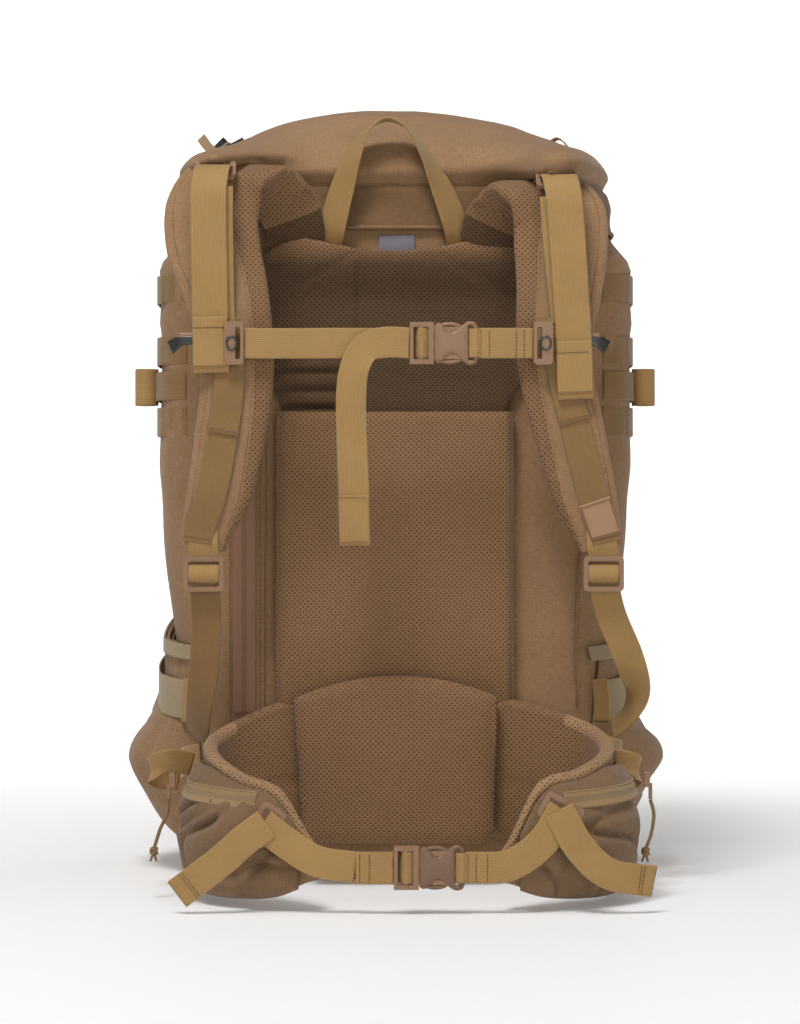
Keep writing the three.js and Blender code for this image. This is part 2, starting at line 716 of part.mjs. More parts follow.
// lower edges of the three webbing rows on each side
const ROW_HEIGHTS = [389, 451.5, 506];
for (const [name, side] of [['left', LEFT], ['right', RIGHT]]) {
  ROW_HEIGHTS.forEach((low, i) =>
    add(`${name}_webbing_row_${i + 1}`, sideStrip(side, -100, 60, low, low + WEBBING, 1.2), webbingTape));
  add(`${name}_compression_strap`, compressionStrap(side), webbingTape);
  add(`${name}_side_pocket`, sidePocket(side), packFabric);
}

add('left_lower_strap', lowerStrap([vec(-161, -203, 266), vec(-160, -198, 225), vec(-166, -172, 180),
  vec(-172, -151, 160)]), webbingTape);
add('right_lower_strap', lowerStrap([vec(176, -203, 266), vec(184, -198, 228), vec(194, -176, 185),
  vec(186, -156, 160)]), webbingTape);

add('left_belt_wing', beltWing(WING.left), airMesh);
add('right_belt_wing', beltWing(WING.right), airMesh);
add('left_belt_pocket', beltPocket(WING.left), packFabric);
add('right_belt_pocket', beltPocket(WING.right), packFabric);

// Belt stabilisers: short webbing from the outside of each wing back to the bag.
add('left_stabilizer_strap', strap({
  route: [vec(-166, -186, 112), vec(-180, -168, 108), vec(-186, -142, 103)],
  across: vec(0, 0, 1), steps: 8,
}), webbingTape);
add('right_stabilizer_strap', strap({
  route: [vec(182, -184, 118), vec(194, -166, 113), vec(194, -140, 106)],
  across: vec(0, 0, 1), steps: 8,
}), webbingTape);

add('yoke_pad', yokePad(), airMesh);
add('left_shoulder_strap', shoulderStrap('left'), packFabric);
add('right_shoulder_strap', shoulderStrap('right'), packFabric);
add('left_strap_rail', strapRail('left', -6), webbingTape);
add('right_strap_rail', strapRail('right', 6), webbingTape);
add('left_load_lifter', loadLifter([vec(-140, -144, 624), vec(-146, -176, 631), vec(-152, -212, 624),
  vec(-155, -235, 596), vec(-155, -240, 545), vec(-154, -241, 490), vec(-153, -241, 438)]), webbingTape);
add('right_load_lifter', loadLifter([vec(126, -144, 616), vec(132, -176, 623), vec(138, -212, 616),
  vec(142, -235, 588), vec(145, -240, 530), vec(149, -241, 470), vec(151, -241, 416)]), webbingTape);
const LIFTER_TILT = -0.75;
const lifterBuckle = ladderFrame(34, 20, 4).rotateX(LIFTER_TILT);
add('left_lifter_buckle', lifterBuckle, tanPlastic, vec(-151, -214, 610));
add('right_lifter_buckle', lifterBuckle.clone(), tanPlastic, vec(136, -214, 602));

add('left_ladder_lock', ladderFrame(LOCK_WIDTH, LOCK_HEIGHT, 6), tanPlastic, vec(-161, -214, 270));
add('right_ladder_lock', ladderFrame(LOCK_WIDTH, LOCK_HEIGHT, 6), tanPlastic, vec(176, -214, 270));


// Sternum strap: clips on the shoulder straps, webbing, and a side-release buckle.
const LEFT_CLIP_X = -133.5;
const RIGHT_CLIP_X = 123.5;
const clip = sternumClip();
add('left_sternum_clip', clip, tanPlastic, vec(LEFT_CLIP_X, STERNUM_PLANE, STERNUM_HEIGHT));
add('right_sternum_clip', mirrored(clip), tanPlastic, vec(RIGHT_CLIP_X, STERNUM_PLANE, STERNUM_HEIGHT));
const level = (x0, x1, plane, height) =>
  block(x0, x1, plane - WEBBING_THICK / 2, plane + WEBBING_THICK / 2, height - WEBBING / 2, height + WEBBING / 2);
const half = BUCKLE.length / 2;
add('left_sternum_webbing', level(LEFT_CLIP_X + 8.5, -16, STERNUM_PLANE, STERNUM_HEIGHT), webbingTape);
add('right_sternum_webbing',
  level(STERNUM_BUCKLE_X + half + GAP, RIGHT_CLIP_X - 8.5, STERNUM_PLANE, STERNUM_HEIGHT), webbingTape);
const sternumBuckle = vec(STERNUM_BUCKLE_X, STERNUM_PLANE, STERNUM_HEIGHT);
add('sternum_buckle_female', buckleFemale(), tanPlastic, sternumBuckle);
add('sternum_buckle_male', buckleMale(), tanPlastic, sternumBuckle);

// The spare end comes back out of the male half's adjuster, folds and hangs.
const TAIL_PLANE = STERNUM_PLANE - 2.4;
const hanging = strap({
  route: [vec(-35, TAIL_PLANE, 474), vec(-36, TAIL_PLANE, 400), vec(-34, TAIL_PLANE - 2, 340),
    vec(-33, TAIL_PLANE, 294)],
  across: vec(1, 0, 0), steps: 10,
});
add('sternum_tail', join(level(-46, STERNUM_BUCKLE_X - half - GAP, TAIL_PLANE, STERNUM_HEIGHT), hanging),
  webbingTape);

// Waist closure: an adjuster on each wing, webbing with its spare end, and a side-release buckle.
function waistWebbing(main, tail, mainAcross, tailAcross) {
  return join(strap({ route: main, across: mainAcross, steps: 12 }),
    strap({ route: tail, across: tailAcross, steps: 8 }));
}
add('left_waist_webbing', waistWebbing(
  [vec(-106, WAIST_PLANE, 73), vec(-84, WAIST_PLANE, 56), vec(-62, WAIST_PLANE, 43), vec(-31, WAIST_PLANE, 38)],
  [vec(-102, WAIST_PLANE, 73), vec(-138, WAIST_PLANE, 44), vec(-174, WAIST_PLANE + 6, 16)],
  [vec(0.6, 0, 0.8), vec(0.5, 0, 0.85), vec(0.25, 0, 0.97), vec(0, 0, 1)],
  [vec(-0.6, 0, 0.8), vec(-0.6, 0, 0.8), vec(-0.45, 0, 0.9)]), webbingTape);
add('right_waist_webbing', waistWebbing(
  [vec(135, WAIST_PLANE, 84), vec(118, WAIST_PLANE, 58), vec(92, WAIST_PLANE, 40), vec(57.2, WAIST_PLANE, 38)],
  [vec(131, WAIST_PLANE, 84), vec(148, WAIST_PLANE, 54), vec(170, WAIST_PLANE, 34), vec(208, WAIST_PLANE + 8, 26)],
  [vec(-0.85, 0, 0.55), vec(-0.7, 0, 0.7), vec(-0.2, 0, 0.95), vec(0, 0, 1)],
  [vec(0.8, 0, 0.5), vec(0.75, 0, 0.6), vec(0.4, 0, 0.9), vec(0.15, 0, 0.95)]), webbingTape);
const adjuster = () => ladderFrame(34, 22, 4);
add('left_belt_adjuster', adjuster().rotateY(-0.98), tanPlastic, vec(-104, WAIST_PLANE + 3.4, 72));
add('right_belt_adjuster', adjuster().rotateY(0.5), tanPlastic, vec(133, WAIST_PLANE + 3.4, 82));
const waistBuckle = vec(WAIST_BUCKLE_X, WAIST_PLANE, WAIST_HEIGHT);
add('waist_buckle_female', buckleFemale(), tanPlastic, waistBuckle);
add('waist_buckle_male', buckleMale(), tanPlastic, waistBuckle);
// The sewn end that holds the male half; it lies in front of the left webbing.
add('waist_sewn_end', level(-31, WAIST_BUCKLE_X - half - GAP, WAIST_PLANE - 2.4, WAIST_HEIGHT), webbingTape);

// Belt pocket sliders, at the outer end of their zips, and the cord on each.
const sliderTurn = Math.PI / 2;
add('left_pocket_slider', zipSlider().rotateZ(-sliderTurn), tanPlastic, vec(-184.5, -252, 100));
add('right_pocket_slider', zipSlider().rotateZ(sliderTurn), tanPlastic, vec(209, -252, 100));
add('left_pull_cord', pullCord([vec(-187.7, -252, 83.4), vec(-189, -252, 72), vec(-195, -251, 58),
  vec(-200, -250, 42)]), cordRope);
add('right_pull_cord', pullCord([vec(212.2, -252, 83.4), vec(215, -252, 72), vec(213, -253, 56),
  vec(208, -254, 42)]), cordRope);

add('lid', lid(), packFabric);
add('lid_strap', lidStrap(), webbingTape);
add('lid_buckle', lidBuckle(), blackPlastic);
add('haul_loop', haulLoop(), webbingTape);

export default group;
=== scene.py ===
"""Looks of the hunting backpack: fabric, foam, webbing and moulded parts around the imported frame."""

import math

import bmesh
import bpy
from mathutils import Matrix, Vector, noise


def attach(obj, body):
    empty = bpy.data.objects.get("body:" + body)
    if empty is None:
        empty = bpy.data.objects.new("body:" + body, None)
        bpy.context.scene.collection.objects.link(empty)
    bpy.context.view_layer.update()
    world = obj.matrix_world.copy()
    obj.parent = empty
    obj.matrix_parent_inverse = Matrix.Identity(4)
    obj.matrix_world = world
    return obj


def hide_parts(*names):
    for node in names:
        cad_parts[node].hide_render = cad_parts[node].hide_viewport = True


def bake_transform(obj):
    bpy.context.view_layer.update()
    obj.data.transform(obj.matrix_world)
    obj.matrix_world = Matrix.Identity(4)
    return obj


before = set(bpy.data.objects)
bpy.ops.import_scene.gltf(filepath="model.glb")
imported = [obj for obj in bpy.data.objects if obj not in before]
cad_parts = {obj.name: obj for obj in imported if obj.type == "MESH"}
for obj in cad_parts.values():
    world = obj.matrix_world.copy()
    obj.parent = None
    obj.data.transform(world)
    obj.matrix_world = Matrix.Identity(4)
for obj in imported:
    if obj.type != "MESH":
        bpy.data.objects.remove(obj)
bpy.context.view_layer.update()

SCENE = bpy.context.scene
UP = Vector((0, 0, 1))
SIDEWAYS = Vector((1, 0, 0))


# ---------------------------------------------------------------------------
# Driving dimensions, in metres where nothing else is said
# ---------------------------------------------------------------------------

MM = 0.001
WEBBING = 25.4 * MM
WEBBING_THICK = 1.6 * MM
LIFTER_WIDTH = 30 * MM
BELT_THICK = 14 * MM
STRAP_FOAM = 13 * MM
CORD_RADIUS = 1.5 * MM
BAG_REAR_RADIUS, BAG_FRONT_RADIUS = 70 * MM, 85 * MM
BAG_WALL, LID_WALL, POCKET_WALL = 4 * MM, 3.5 * MM, 2.5 * MM
LID_SEAM, LID_HEM = 0.607, 0.569
POCKET_REAR, POCKET_FRONT = -112 * MM, 78 * MM
# lower edges of the webbing rows, and the compression strap's middle, in millimetres
ROW_EDGES, COMPRESSION_HEIGHT = (389, 451.5, 506), 433.2
ROW_START = -118
TACK_PITCH = 38 * MM
# height and depth of the sternum and the waist strap, in millimetres
STERNUM_HEIGHT, STERNUM_PLANE = 462.5, -246
WAIST_HEIGHT, WAIST_PLANE = 38, -344


# ---------------------------------------------------------------------------
# Camera, light and floor
# ---------------------------------------------------------------------------

def place_camera():
    """A long lens, level, square to the harness side."""
    data = bpy.data.cameras.new("camera")
    data.sensor_fit = "VERTICAL"
    data.sensor_height = 36
    data.lens = 103.7
    camera = bpy.data.objects.new("camera", data)
    camera.location = (0.0044, -2.7, 0.322)
    camera.rotation_euler = (math.radians(90), 0, 0)
    SCENE.collection.objects.link(camera)
    SCENE.camera = camera


def place_light(name, location, size, power, aim=(0, 0, 0.33)):
    """A square area light that faces its aim."""
    data = bpy.data.lights.new(name, "AREA")
    data.size = size
    data.energy = power
    lamp = bpy.data.objects.new(name, data)
    lamp.location = location
    lamp.rotation_euler = (Vector(aim) - Vector(location)).to_track_quat("-Z", "Y").to_euler()
    SCENE.collection.objects.link(lamp)


def place_floor():
    """A pale round floor that curves up into a backdrop all the way round."""
    radius, rise, steps, around = 3.8, 2.2, 10, 48
    rings = [(0.02, 0.0), (radius, 0.0)]
    for i in range(1, steps + 1):
        angle = math.pi / 2 * i / steps
        rings.append((radius + math.sin(angle), 1 - math.cos(angle)))
    rings.append((radius + 1, rise))
    mesh = bmesh.new()
    angles = [2 * math.pi * k / around for k in range(around)]
    grid = [[mesh.verts.new((r * math.cos(a), r * math.sin(a), z)) for a in angles] for r, z in rings]
    for low, high in zip(grid, grid[1:]):
        for k in range(around):
            mesh.faces.new((low[k], low[(k + 1) % around], high[(k + 1) % around], high[k]))
    mesh.faces.new(grid[0])
    floor = finish_mesh("floor", mesh, floor_material())


# ---------------------------------------------------------------------------
# Materials
# ---------------------------------------------------------------------------

def srgb(red, green, blue):
    """Linear colour with alpha from 0 to 255 display values."""
    def linear(value):
        value /= 255
        return value / 12.92 if value <= 0.04045 else ((value + 0.055) / 1.055) ** 2.4
    return (linear(red), linear(green), linear(blue), 1.0)


def add_node(tree, kind, values=None, **settings):
    """A shader node; values sets its inputs by name or number, from a socket or a constant."""
    made = tree.nodes.new(kind)
    for key, value in settings.items():
        setattr(made, key, value)
    for key, value in (values or {}).items():
        if isinstance(value, bpy.types.NodeSocket):
            tree.links.new(value, made.inputs[key])
        else:
            made.inputs[key].default_value = value
    return made


def calc(tree, operation, *values):
    """A math node's result."""
    return add_node(tree, "ShaderNodeMath", dict(enumerate(values)), operation=operation).outputs[0]


def new_material(name, roughness, specular=0.35, sheen=0.0):
    """A material with its node tree and its shader, to which each maker adds its pattern."""
    made = bpy.data.materials.new(name)
    made.use_nodes = True
    shader = made.node_tree.nodes["Principled BSDF"]
    shader.inputs["Roughness"].default_value = roughness
    shader.inputs["Specular IOR Level"].default_value = specular
    shader.inputs["Sheen Weight"].default_value = sheen
    shader.inputs["Sheen Roughness"].default_value = 0.5
    return made, made.node_tree, shader


def flat_coordinates():
    """Node group: two coordinates in the plane that the surface faces most, in metres."""
    group = bpy.data.node_groups.new("flat_coordinates", "ShaderNodeTree")
    for name in ("A", "B"):
        group.interface.new_socket(name, in_out="OUTPUT", socket_type="NodeSocketFloat")
    where = add_node(group, "ShaderNodeTexCoord")
    place = add_node(group, "ShaderNodeSeparateXYZ", {0: where.outputs["Object"]}).outputs
    facing = add_node(group, "ShaderNodeSeparateXYZ", {0: where.outputs["Normal"]}).outputs
    size = [calc(group, "ABSOLUTE", facing[k]) for k in range(3)]
    sideways = calc(group, "GREATER_THAN", size[0], calc(group, "MAXIMUM", size[1], size[2]))
    upward = calc(group, "GREATER_THAN", size[2], calc(group, "MAXIMUM", size[0], size[1]))

    def pick(first, second, chosen):
        return calc(group, "ADD", calc(group, "MULTIPLY", second, chosen),
                    calc(group, "MULTIPLY", first, calc(group, "SUBTRACT", 1.0, chosen)))
    out = group.nodes.new("NodeGroupOutput")
    group.links.new(pick(place[0], place[1], sideways), out.inputs["A"])
    group.links.new(pick(place[2], place[1], upward), out.inputs["B"])
    return group


FLAT = flat_coordinates()


def flat_pair(tree):
    """The two flat coordinates, in one material's tree."""
    made = add_node(tree, "ShaderNodeGroup", node_tree=FLAT)
    return made.outputs["A"], made.outputs["B"]


def noise_at(tree, vector, scale, detail=2.0):
    """Noise from 0 to 1 at a point."""
    made = add_node(tree, "ShaderNodeTexNoise", {"Vector": vector, "Scale": scale, "Detail": detail})
    return made.outputs[0]


def stretched(tree, a, b, along, across):
    """Vector that makes a noise long in one direction and short in the other."""
    return add_node(tree, "ShaderNodeCombineXYZ", {
        0: calc(tree, "MULTIPLY", a, along), 1: calc(tree, "MULTIPLY", b, across)}).outputs[0]


def tinted(tree, colour, factor, dark, light):
    """The colour made darker or lighter as factor goes from 0 to 1."""
    ramp = add_node(tree, "ShaderNodeMapRange", {0: factor, 3: dark, 4: light}).outputs[0]
    hue = add_node(tree, "ShaderNodeHueSaturation", {"Value": ramp, "Color": colour})
    return hue.outputs[0]


def use_bump(tree, shader, height, strength, distance):
    """Lets a height from 0 to 1 shade the surface as relief."""
    bump = add_node(tree, "ShaderNodeBump", {"Height": height, "Strength": strength, "Distance": distance})
    tree.links.new(bump.outputs[0], shader.inputs["Normal"])


def floor_material():
    """White studio paint that glows a little, so that it stays paler than the pack."""
    made, tree, shader = new_material("floor_paint", 0.6, 0.1)
    where = add_node(tree, "ShaderNodeTexCoord").outputs["Object"]
    colour = tinted(tree, srgb(246, 246, 246), noise_at(tree, where, 3), 0.995, 1.005)
    tree.links.new(colour, shader.inputs["Base Color"])
    shader.inputs["Emission Color"].default_value = (1, 1, 1, 1)
    shader.inputs["Emission Strength"].default_value = 0.105
    return made


def fabric_material(name, colour, pitch=1.15 * MM, slub=0.22, cloudy=0.10):
    """Coarse plain-woven nylon: crossing yarns, uneven yarn colour and slow shade changes."""
    made, tree, shader = new_material(name, 0.82, 0.22, 0.12)
    a, b = flat_pair(tree)
    turns = math.pi / pitch
    warp = calc(tree, "SINE", calc(tree, "MULTIPLY", a, turns))
    weft = calc(tree, "SINE", calc(tree, "MULTIPLY", b, turns))
    over = calc(tree, "GREATER_THAN", calc(tree, "MULTIPLY", warp, weft), 0.0)
    yarn = calc(tree, "ADD", calc(tree, "MULTIPLY", calc(tree, "ABSOLUTE", warp), over),
                calc(tree, "MULTIPLY", calc(tree, "ABSOLUTE", weft), calc(tree, "SUBTRACT", 1.0, over)))
    upright = noise_at(tree, stretched(tree, a, b, 900, 150), 1.0)
    level = noise_at(tree, stretched(tree, a, b, 150, 900), 1.0)
    yarns = calc(tree, "MULTIPLY", calc(tree, "ADD", upright, level), 0.5)
    where = add_node(tree, "ShaderNodeTexCoord").outputs["Object"]
    cloud = noise_at(tree, where, 14, 3.0)
    first = tinted(tree, colour, yarns, 1 - slub * 2.4, 1 + slub * 2.4)
    second = tinted(tree, first, cloud, 1 - cloudy * 2, 1 + cloudy * 2)
    third = tinted(tree, second, yarn, 0.93, 1.03)
    tree.links.new(third, shader.inputs["Base Color"])
    height = calc(tree, "ADD", yarn, yarns)
    use_bump(tree, shader, height, 0.5, 0.25 * MM)
    return made


def perforated_material(name, colour, hole_shade, rim=None):
    """Foam faced with a knitted cloth that has small holes punched in staggered rows, painted dark as the
    shade inside them.
    rim gives the two heights between which the cloth brightens towards its upper edge, a painted highlight
    where light falls on it."""
    pitch, hole = 3.3 * MM, 0.2
    made, tree, shader = new_material(name, 0.9, 0.18, 0.1)
    a, b = flat_pair(tree)

    def cell(operation):
        turned = calc(tree, "MULTIPLY", calc(tree, operation, a, b), math.sqrt(0.5) / pitch)
        return calc(tree, "SUBTRACT", calc(tree, "FRACT", turned), 0.5)
    one, two = cell("ADD"), cell("SUBTRACT")
    where = add_node(tree, "ShaderNodeTexCoord").outputs["Object"]
    uneven = calc(tree, "MULTIPLY", calc(tree, "SUBTRACT", noise_at(tree, where, 260), 0.5), 0.22)
    one = calc(tree, "ADD", one, uneven)
    away = calc(tree, "SQRT", calc(tree, "ADD", calc(tree, "MULTIPLY", one, one),
                                   calc(tree, "MULTIPLY", two, two)))
    solid = add_node(tree, "ShaderNodeMapRange", {0: away, 1: hole * 0.55, 2: hole * 1.25}).outputs[0]
    dimple = add_node(tree, "ShaderNodeMapRange", {0: away, 1: 0.0, 2: hole * 2.4}).outputs[0]
    knit = noise_at(tree, where, 700, 2.0)
    cloud = noise_at(tree, where, 12, 3.0)
    cloth = tinted(tree, tinted(tree, colour, knit, 0.78, 1.22), cloud, 0.9, 1.1)
    # painted highlight: the cloth brightens towards its upper rim, where light falls
    if rim:
        height = add_node(tree, "ShaderNodeSeparateXYZ", {0: where}).outputs[2]
        rim_highlight = add_node(tree, "ShaderNodeMapRange", {0: height, 1: rim[0], 2: rim[1]}).outputs[0]
        cloth = tinted(tree, cloth, rim_highlight, 1.0, 2.6)
    # the holes take a dark colour, painted as the shade inside them
    mixed = add_node(tree, "ShaderNodeMix", {0: solid, 6: hole_shade, 7: cloth}, data_type="RGBA").outputs[2]
    tree.links.new(mixed, shader.inputs["Base Color"])
    height = calc(tree, "ADD", calc(tree, "MULTIPLY", dimple, 2.0), knit)
    use_bump(tree, shader, height, 0.5, 0.4 * MM)
    return made


def webbing_material(name, colour, rib=1.6 * MM, cross=1.5 * MM):
    """Woven webbing: ribs along its length, finer bars across, and a firm edge."""
    made, tree, shader = new_material(name, 0.62, 0.3, 0.15)
    flat = add_node(tree, "ShaderNodeSeparateXYZ", {0: add_node(tree, "ShaderNodeUVMap").outputs[0]}).outputs
    ribs = calc(tree, "ABSOLUTE", calc(tree, "SINE", calc(tree, "MULTIPLY", flat[0], math.pi / rib)))
    bars = calc(tree, "ABSOLUTE", calc(tree, "SINE", calc(tree, "MULTIPLY", flat[1], math.pi / cross)))
    weave = calc(tree, "MULTIPLY", ribs, calc(tree, "ADD", 0.55, calc(tree, "MULTIPLY", bars, 0.45)))
    where = add_node(tree, "ShaderNodeTexCoord").outputs["Object"]
    cloud = noise_at(tree, where, 25, 3.0)
    yarn = noise_at(tree, stretched(tree, flat[0], flat[1], 1500, 120), 1.0)
    shade = tinted(tree, tinted(tree, colour, weave, 0.76, 1.10), cloud, 0.84, 1.14)
    tree.links.new(tinted(tree, shade, yarn, 0.84, 1.16), shader.inputs["Base Color"])
    use_bump(tree, shader, weave, 0.6, 0.35 * MM)
    return made


def plastic_material(name, colour, roughness=0.42, specular=0.45):
    """Moulded nylon: an even satin skin with faint flow marks."""
    made, tree, shader = new_material(name, roughness, specular)
    where = add_node(tree, "ShaderNodeTexCoord").outputs["Object"]
    flow = noise_at(tree, where, 60, 3.0)
    grain = noise_at(tree, where, 1400, 2.0)
    tree.links.new(tinted(tree, tinted(tree, colour, flow, 0.9, 1.1), grain, 0.95, 1.05),
                   shader.inputs["Base Color"])
    rough = add_node(tree, "ShaderNodeMapRange", {0: flow, 3: roughness * 0.85, 4: roughness * 1.2})
    tree.links.new(rough.outputs[0], shader.inputs["Roughness"])
    use_bump(tree, shader, grain, 0.15, 0.1 * MM)
    return made


def metal_material(name, colour, roughness):
    """Metal with fine lines brushed across its height."""
    made, tree, shader = new_material(name, roughness, 0.5)
    shader.inputs["Metallic"].default_value = 1.0
    where = add_node(tree, "ShaderNodeTexCoord").outputs["Object"]
    drawn_out = add_node(tree, "ShaderNodeMapping", {0: where, 3: (900, 900, 20)}).outputs[0]
    brushed = noise_at(tree, drawn_out, 1.0)
    tree.links.new(tinted(tree, colour, brushed, 0.9, 1.1), shader.inputs["Base Color"])
    use_bump(tree, shader, brushed, 0.1, 0.1 * MM)
    return made


def zip_material(name, colour):
    """Zip tape with its coil: fine bars across a raised middle line. U runs across, V along."""
    tooth = 1.6 * MM
    made, tree, shader = new_material(name, 0.75, 0.3, 0.1)
    flat = add_node(tree, "ShaderNodeSeparateXYZ", {0: add_node(tree, "ShaderNodeUVMap").outputs[0]}).outputs
    middle = calc(tree, "LESS_THAN", calc(tree, "ABSOLUTE", flat[0]), 2.2 * MM)
    teeth = calc(tree, "ABSOLUTE", calc(tree, "SINE", calc(tree, "MULTIPLY", flat[1], math.pi / tooth)))
    coil = calc(tree, "MULTIPLY", middle, teeth)
    knit = noise_at(tree, stretched(tree, flat[0], flat[1], 1200, 500), 1.0)
    tape = tinted(tree, colour, knit, 0.85, 1.15)
    shade = tinted(tree, tape, calc(tree, "SUBTRACT", middle, coil), 1.0, 0.6)
    tree.links.new(shade, shader.inputs["Base Color"])
    use_bump(tree, shader, calc(tree, "ADD", coil, calc(tree, "MULTIPLY", knit, 0.3)), 0.7, 0.5 * MM)
    return made


def cord_material(name, colour):
    """Braided cord: two sets of diagonal bands that cross."""
    bands = 3400.0
    made, tree, shader = new_material(name, 0.7, 0.3, 0.1)
    where = add_node(tree, "ShaderNodeTexCoord").outputs["Object"]
    parts = add_node(tree, "ShaderNodeSeparateXYZ", {0: where}).outputs
    one = calc(tree, "SINE", calc(tree, "MULTIPLY", calc(tree, "ADD", parts[0], parts[2]), bands))
    two = calc(tree, "SINE", calc(tree, "MULTIPLY", calc(tree, "SUBTRACT", parts[0], parts[2]), bands))
    braid = calc(tree, "MULTIPLY", one, two)
    tree.links.new(tinted(tree, colour, braid, 0.8, 1.15), shader.inputs["Base Color"])
    use_bump(tree, shader, braid, 0.4, 0.3 * MM)
    return made


LOOK = {
    "pack_fabric": fabric_material("pack_fabric", srgb(146, 114, 81)),
    "shade_fabric": fabric_material("shade_fabric", srgb(130, 100, 70)),
    "pocket_fabric": fabric_material("pocket_fabric", srgb(124, 97, 70)),
    # painted shade: a darker copy of the pack cloth for the lid's band under its seam
    "shaded_panel_fabric": fabric_material("shaded_panel_fabric", srgb(118, 90, 62)),
    "air_mesh": perforated_material("air_mesh", srgb(130, 99, 69), srgb(36, 24, 16)),
    # painted shade: a darker copy of the air mesh for the recessed yoke, with a painted highlight towards its
    # upper rim
    "shaded_yoke_mesh": perforated_material("shaded_yoke_mesh", srgb(86, 65, 45), srgb(30, 21, 14), rim=(0.535, 0.556)),
    # painted shade: a darker copy of the air mesh under the strap arches and on the yoke's ridges
    "shaded_mesh": perforated_material("shaded_mesh", srgb(88, 66, 45), srgb(30, 20, 13)),
    "webbing": webbing_material("webbing", srgb(162, 127, 76)),
    "shade_webbing": webbing_material("shade_webbing", srgb(136, 104, 61)),
    "lid_webbing": webbing_material("lid_webbing", srgb(178, 150, 112)),
    "tan_plastic": plastic_material("tan_plastic", srgb(136, 103, 75)),
    "shade_plastic": plastic_material("shade_plastic", srgb(116, 87, 64)),
    "black_plastic": plastic_material("black_plastic", srgb(34, 33, 33), 0.35),
    "zip_tape": zip_material("zip_tape", srgb(140, 104, 80)),
    "pocket_zip": zip_material("pocket_zip", srgb(150, 124, 86)),
    "elastic": webbing_material("elastic", srgb(158, 138, 104), 1.3 * MM, 0.9 * MM),
    "label": fabric_material("label", srgb(128, 123, 130), 0.6 * MM, 0.04, 0.03),
    "patch": plastic_material("patch", srgb(160, 125, 96), 0.6, 0.3),
    "patch_rim": plastic_material("patch_rim", srgb(118, 87, 60), 0.6, 0.3),
    "thread": plastic_material("thread", srgb(112, 84, 60), 0.7, 0.2),
    "binding": webbing_material("binding", srgb(150, 118, 84), 1.6 * MM, 1.0 * MM),
    "cord": cord_material("cord", srgb(140, 112, 74)),
    "frame_aluminium": metal_material("frame_aluminium", srgb(190, 191, 193), 0.35),
    "frame_board": plastic_material("frame_board", srgb(38, 38, 42), 0.5),
    "ring_metal": metal_material("ring_metal", srgb(84, 84, 82), 0.4),
    # painted highlight: a brighter copy of the air mesh for the lit top rim of the belt wings
    "lit_rim_mesh": perforated_material("lit_rim_mesh", srgb(158, 125, 90), srgb(52, 36, 24)),
}


# ---------------------------------------------------------------------------
# Mesh helpers
# ---------------------------------------------------------------------------

def finish_mesh(name, mesh, *materials):
    """Turns a bmesh into an object with outward normals and its materials."""
    bmesh.ops.recalc_face_normals(mesh, faces=mesh.faces)
    data = bpy.data.meshes.new(name)
    mesh.to_mesh(data)
    mesh.free()
    for each in materials:
        data.materials.append(each)
    data.polygons.foreach_set("use_smooth", [True] * len(data.polygons))
    made = bpy.data.objects.new(name, data)
    SCENE.collection.objects.link(made)
    return made


def millimetres(*values):
    """Values given in millimetres, as metres."""
    return [value * MM for value in values]


def vectors(points):
    """Points given in millimetres, as vectors in metres."""
    return [Vector(p) * MM for p in points]


def spline_point(points, t):
    """Point at t from 0 to 1 on a centripetal Catmull-Rom curve through the points."""
    place = min(max(t, 0), 1) * (len(points) - 1)
    i = min(int(place), len(points) - 2)
    w = place - i
    p1, p2 = points[i], points[i + 1]
    p0 = points[i - 1] if i > 0 else 2 * p1 - p2
    p3 = points[i + 2] if i + 2 < len(points) else 2 * p2 - p1
    d0, d1, d2 = (max((b - a).length, 1e-6) ** 0.5 for a, b in ((p0, p1), (p1, p2), (p2, p3)))
    t1 = ((p1 - p0) / d0 - (p2 - p0) / (d0 + d1) + (p2 - p1) / d1) * d1
    t2 = ((p2 - p1) / d1 - (p3 - p1) / (d1 + d2) + (p3 - p2) / d2) * d1
    return p1 + t1 * w + (3 * (p2 - p1) - 2 * t1 - t2) * w ** 2 + (2 * (p1 - p2) + t1 + t2) * w ** 3


def at(values, t):
    """Value at t of a list spread from 0 to 1, or the value itself where it isn't a list."""
    if not isinstance(values, list):
        return values
    place = min(max(t, 0), 1) * (len(values) - 1)
    i = min(int(place), len(values) - 2)
    return values[i] + (values[i + 1] - values[i]) * (place - i)


def strap_frame(route, across, t):
    """Point, tangent, width direction and face direction at t along a strap."""
    point = spline_point(route, t)
    step = 0.002
    tangent = (spline_point(route, min(t + step, 1)) - spline_point(route, max(t - step, 0))).normalized()
    wide = Vector(at(across, t))
    wide = (wide - tangent * wide.dot(tangent)).normalized()
    return point, tangent, wide, tangent.cross(wide).normalized()


def sweep(name, route, across, section, looks, steps, start=0.0, end=1.0, lift=0.0, paint=None):
    """A closed strap along a route, with U across it and V along it in metres.
    section(t) gives its outline as (along the width, along the face) pairs, and
    paint(t, k) the material number of the face after outline point k."""
    mesh = bmesh.new()
    uv = mesh.loops.layers.uv.new("UVMap")
    rings, flat, travelled, before = [], [], 0.0, None
    for i in range(steps + 1):
        t = start + (end - start) * i / steps
        point, _, wide, face = strap_frame(route, across, t)
        travelled += (point - before).length if before is not None else 0.0
        before = point
        outline = section(t)
        rings.append([mesh.verts.new(point + wide * u + face * (v + lift)) for u, v in outline])
        flat.append([(u, travelled) for u, _ in outline])
    count = len(rings[0])
    for i in range(steps):
        for k in range(count):
            n = (k + 1) % count
            corners = ((i, k), (i, n), (i + 1, n), (i + 1, k))
            made = mesh.faces.new([rings[a][b] for a, b in corners])
            for loop, (a, b) in zip(made.loops, corners):
                loop[uv].uv = flat[a][b]
            if paint:
                made.material_index = paint(start + (end - start) * (i + 0.5) / steps, k)
    for ring, row in ((rings[0][::-1], flat[0][::-1]), (rings[-1], flat[-1])):
        cap = mesh.faces.new(ring)
        for loop, values in zip(cap.loops, row):
            loop[uv].uv = values
    return finish_mesh(name, mesh, *looks)


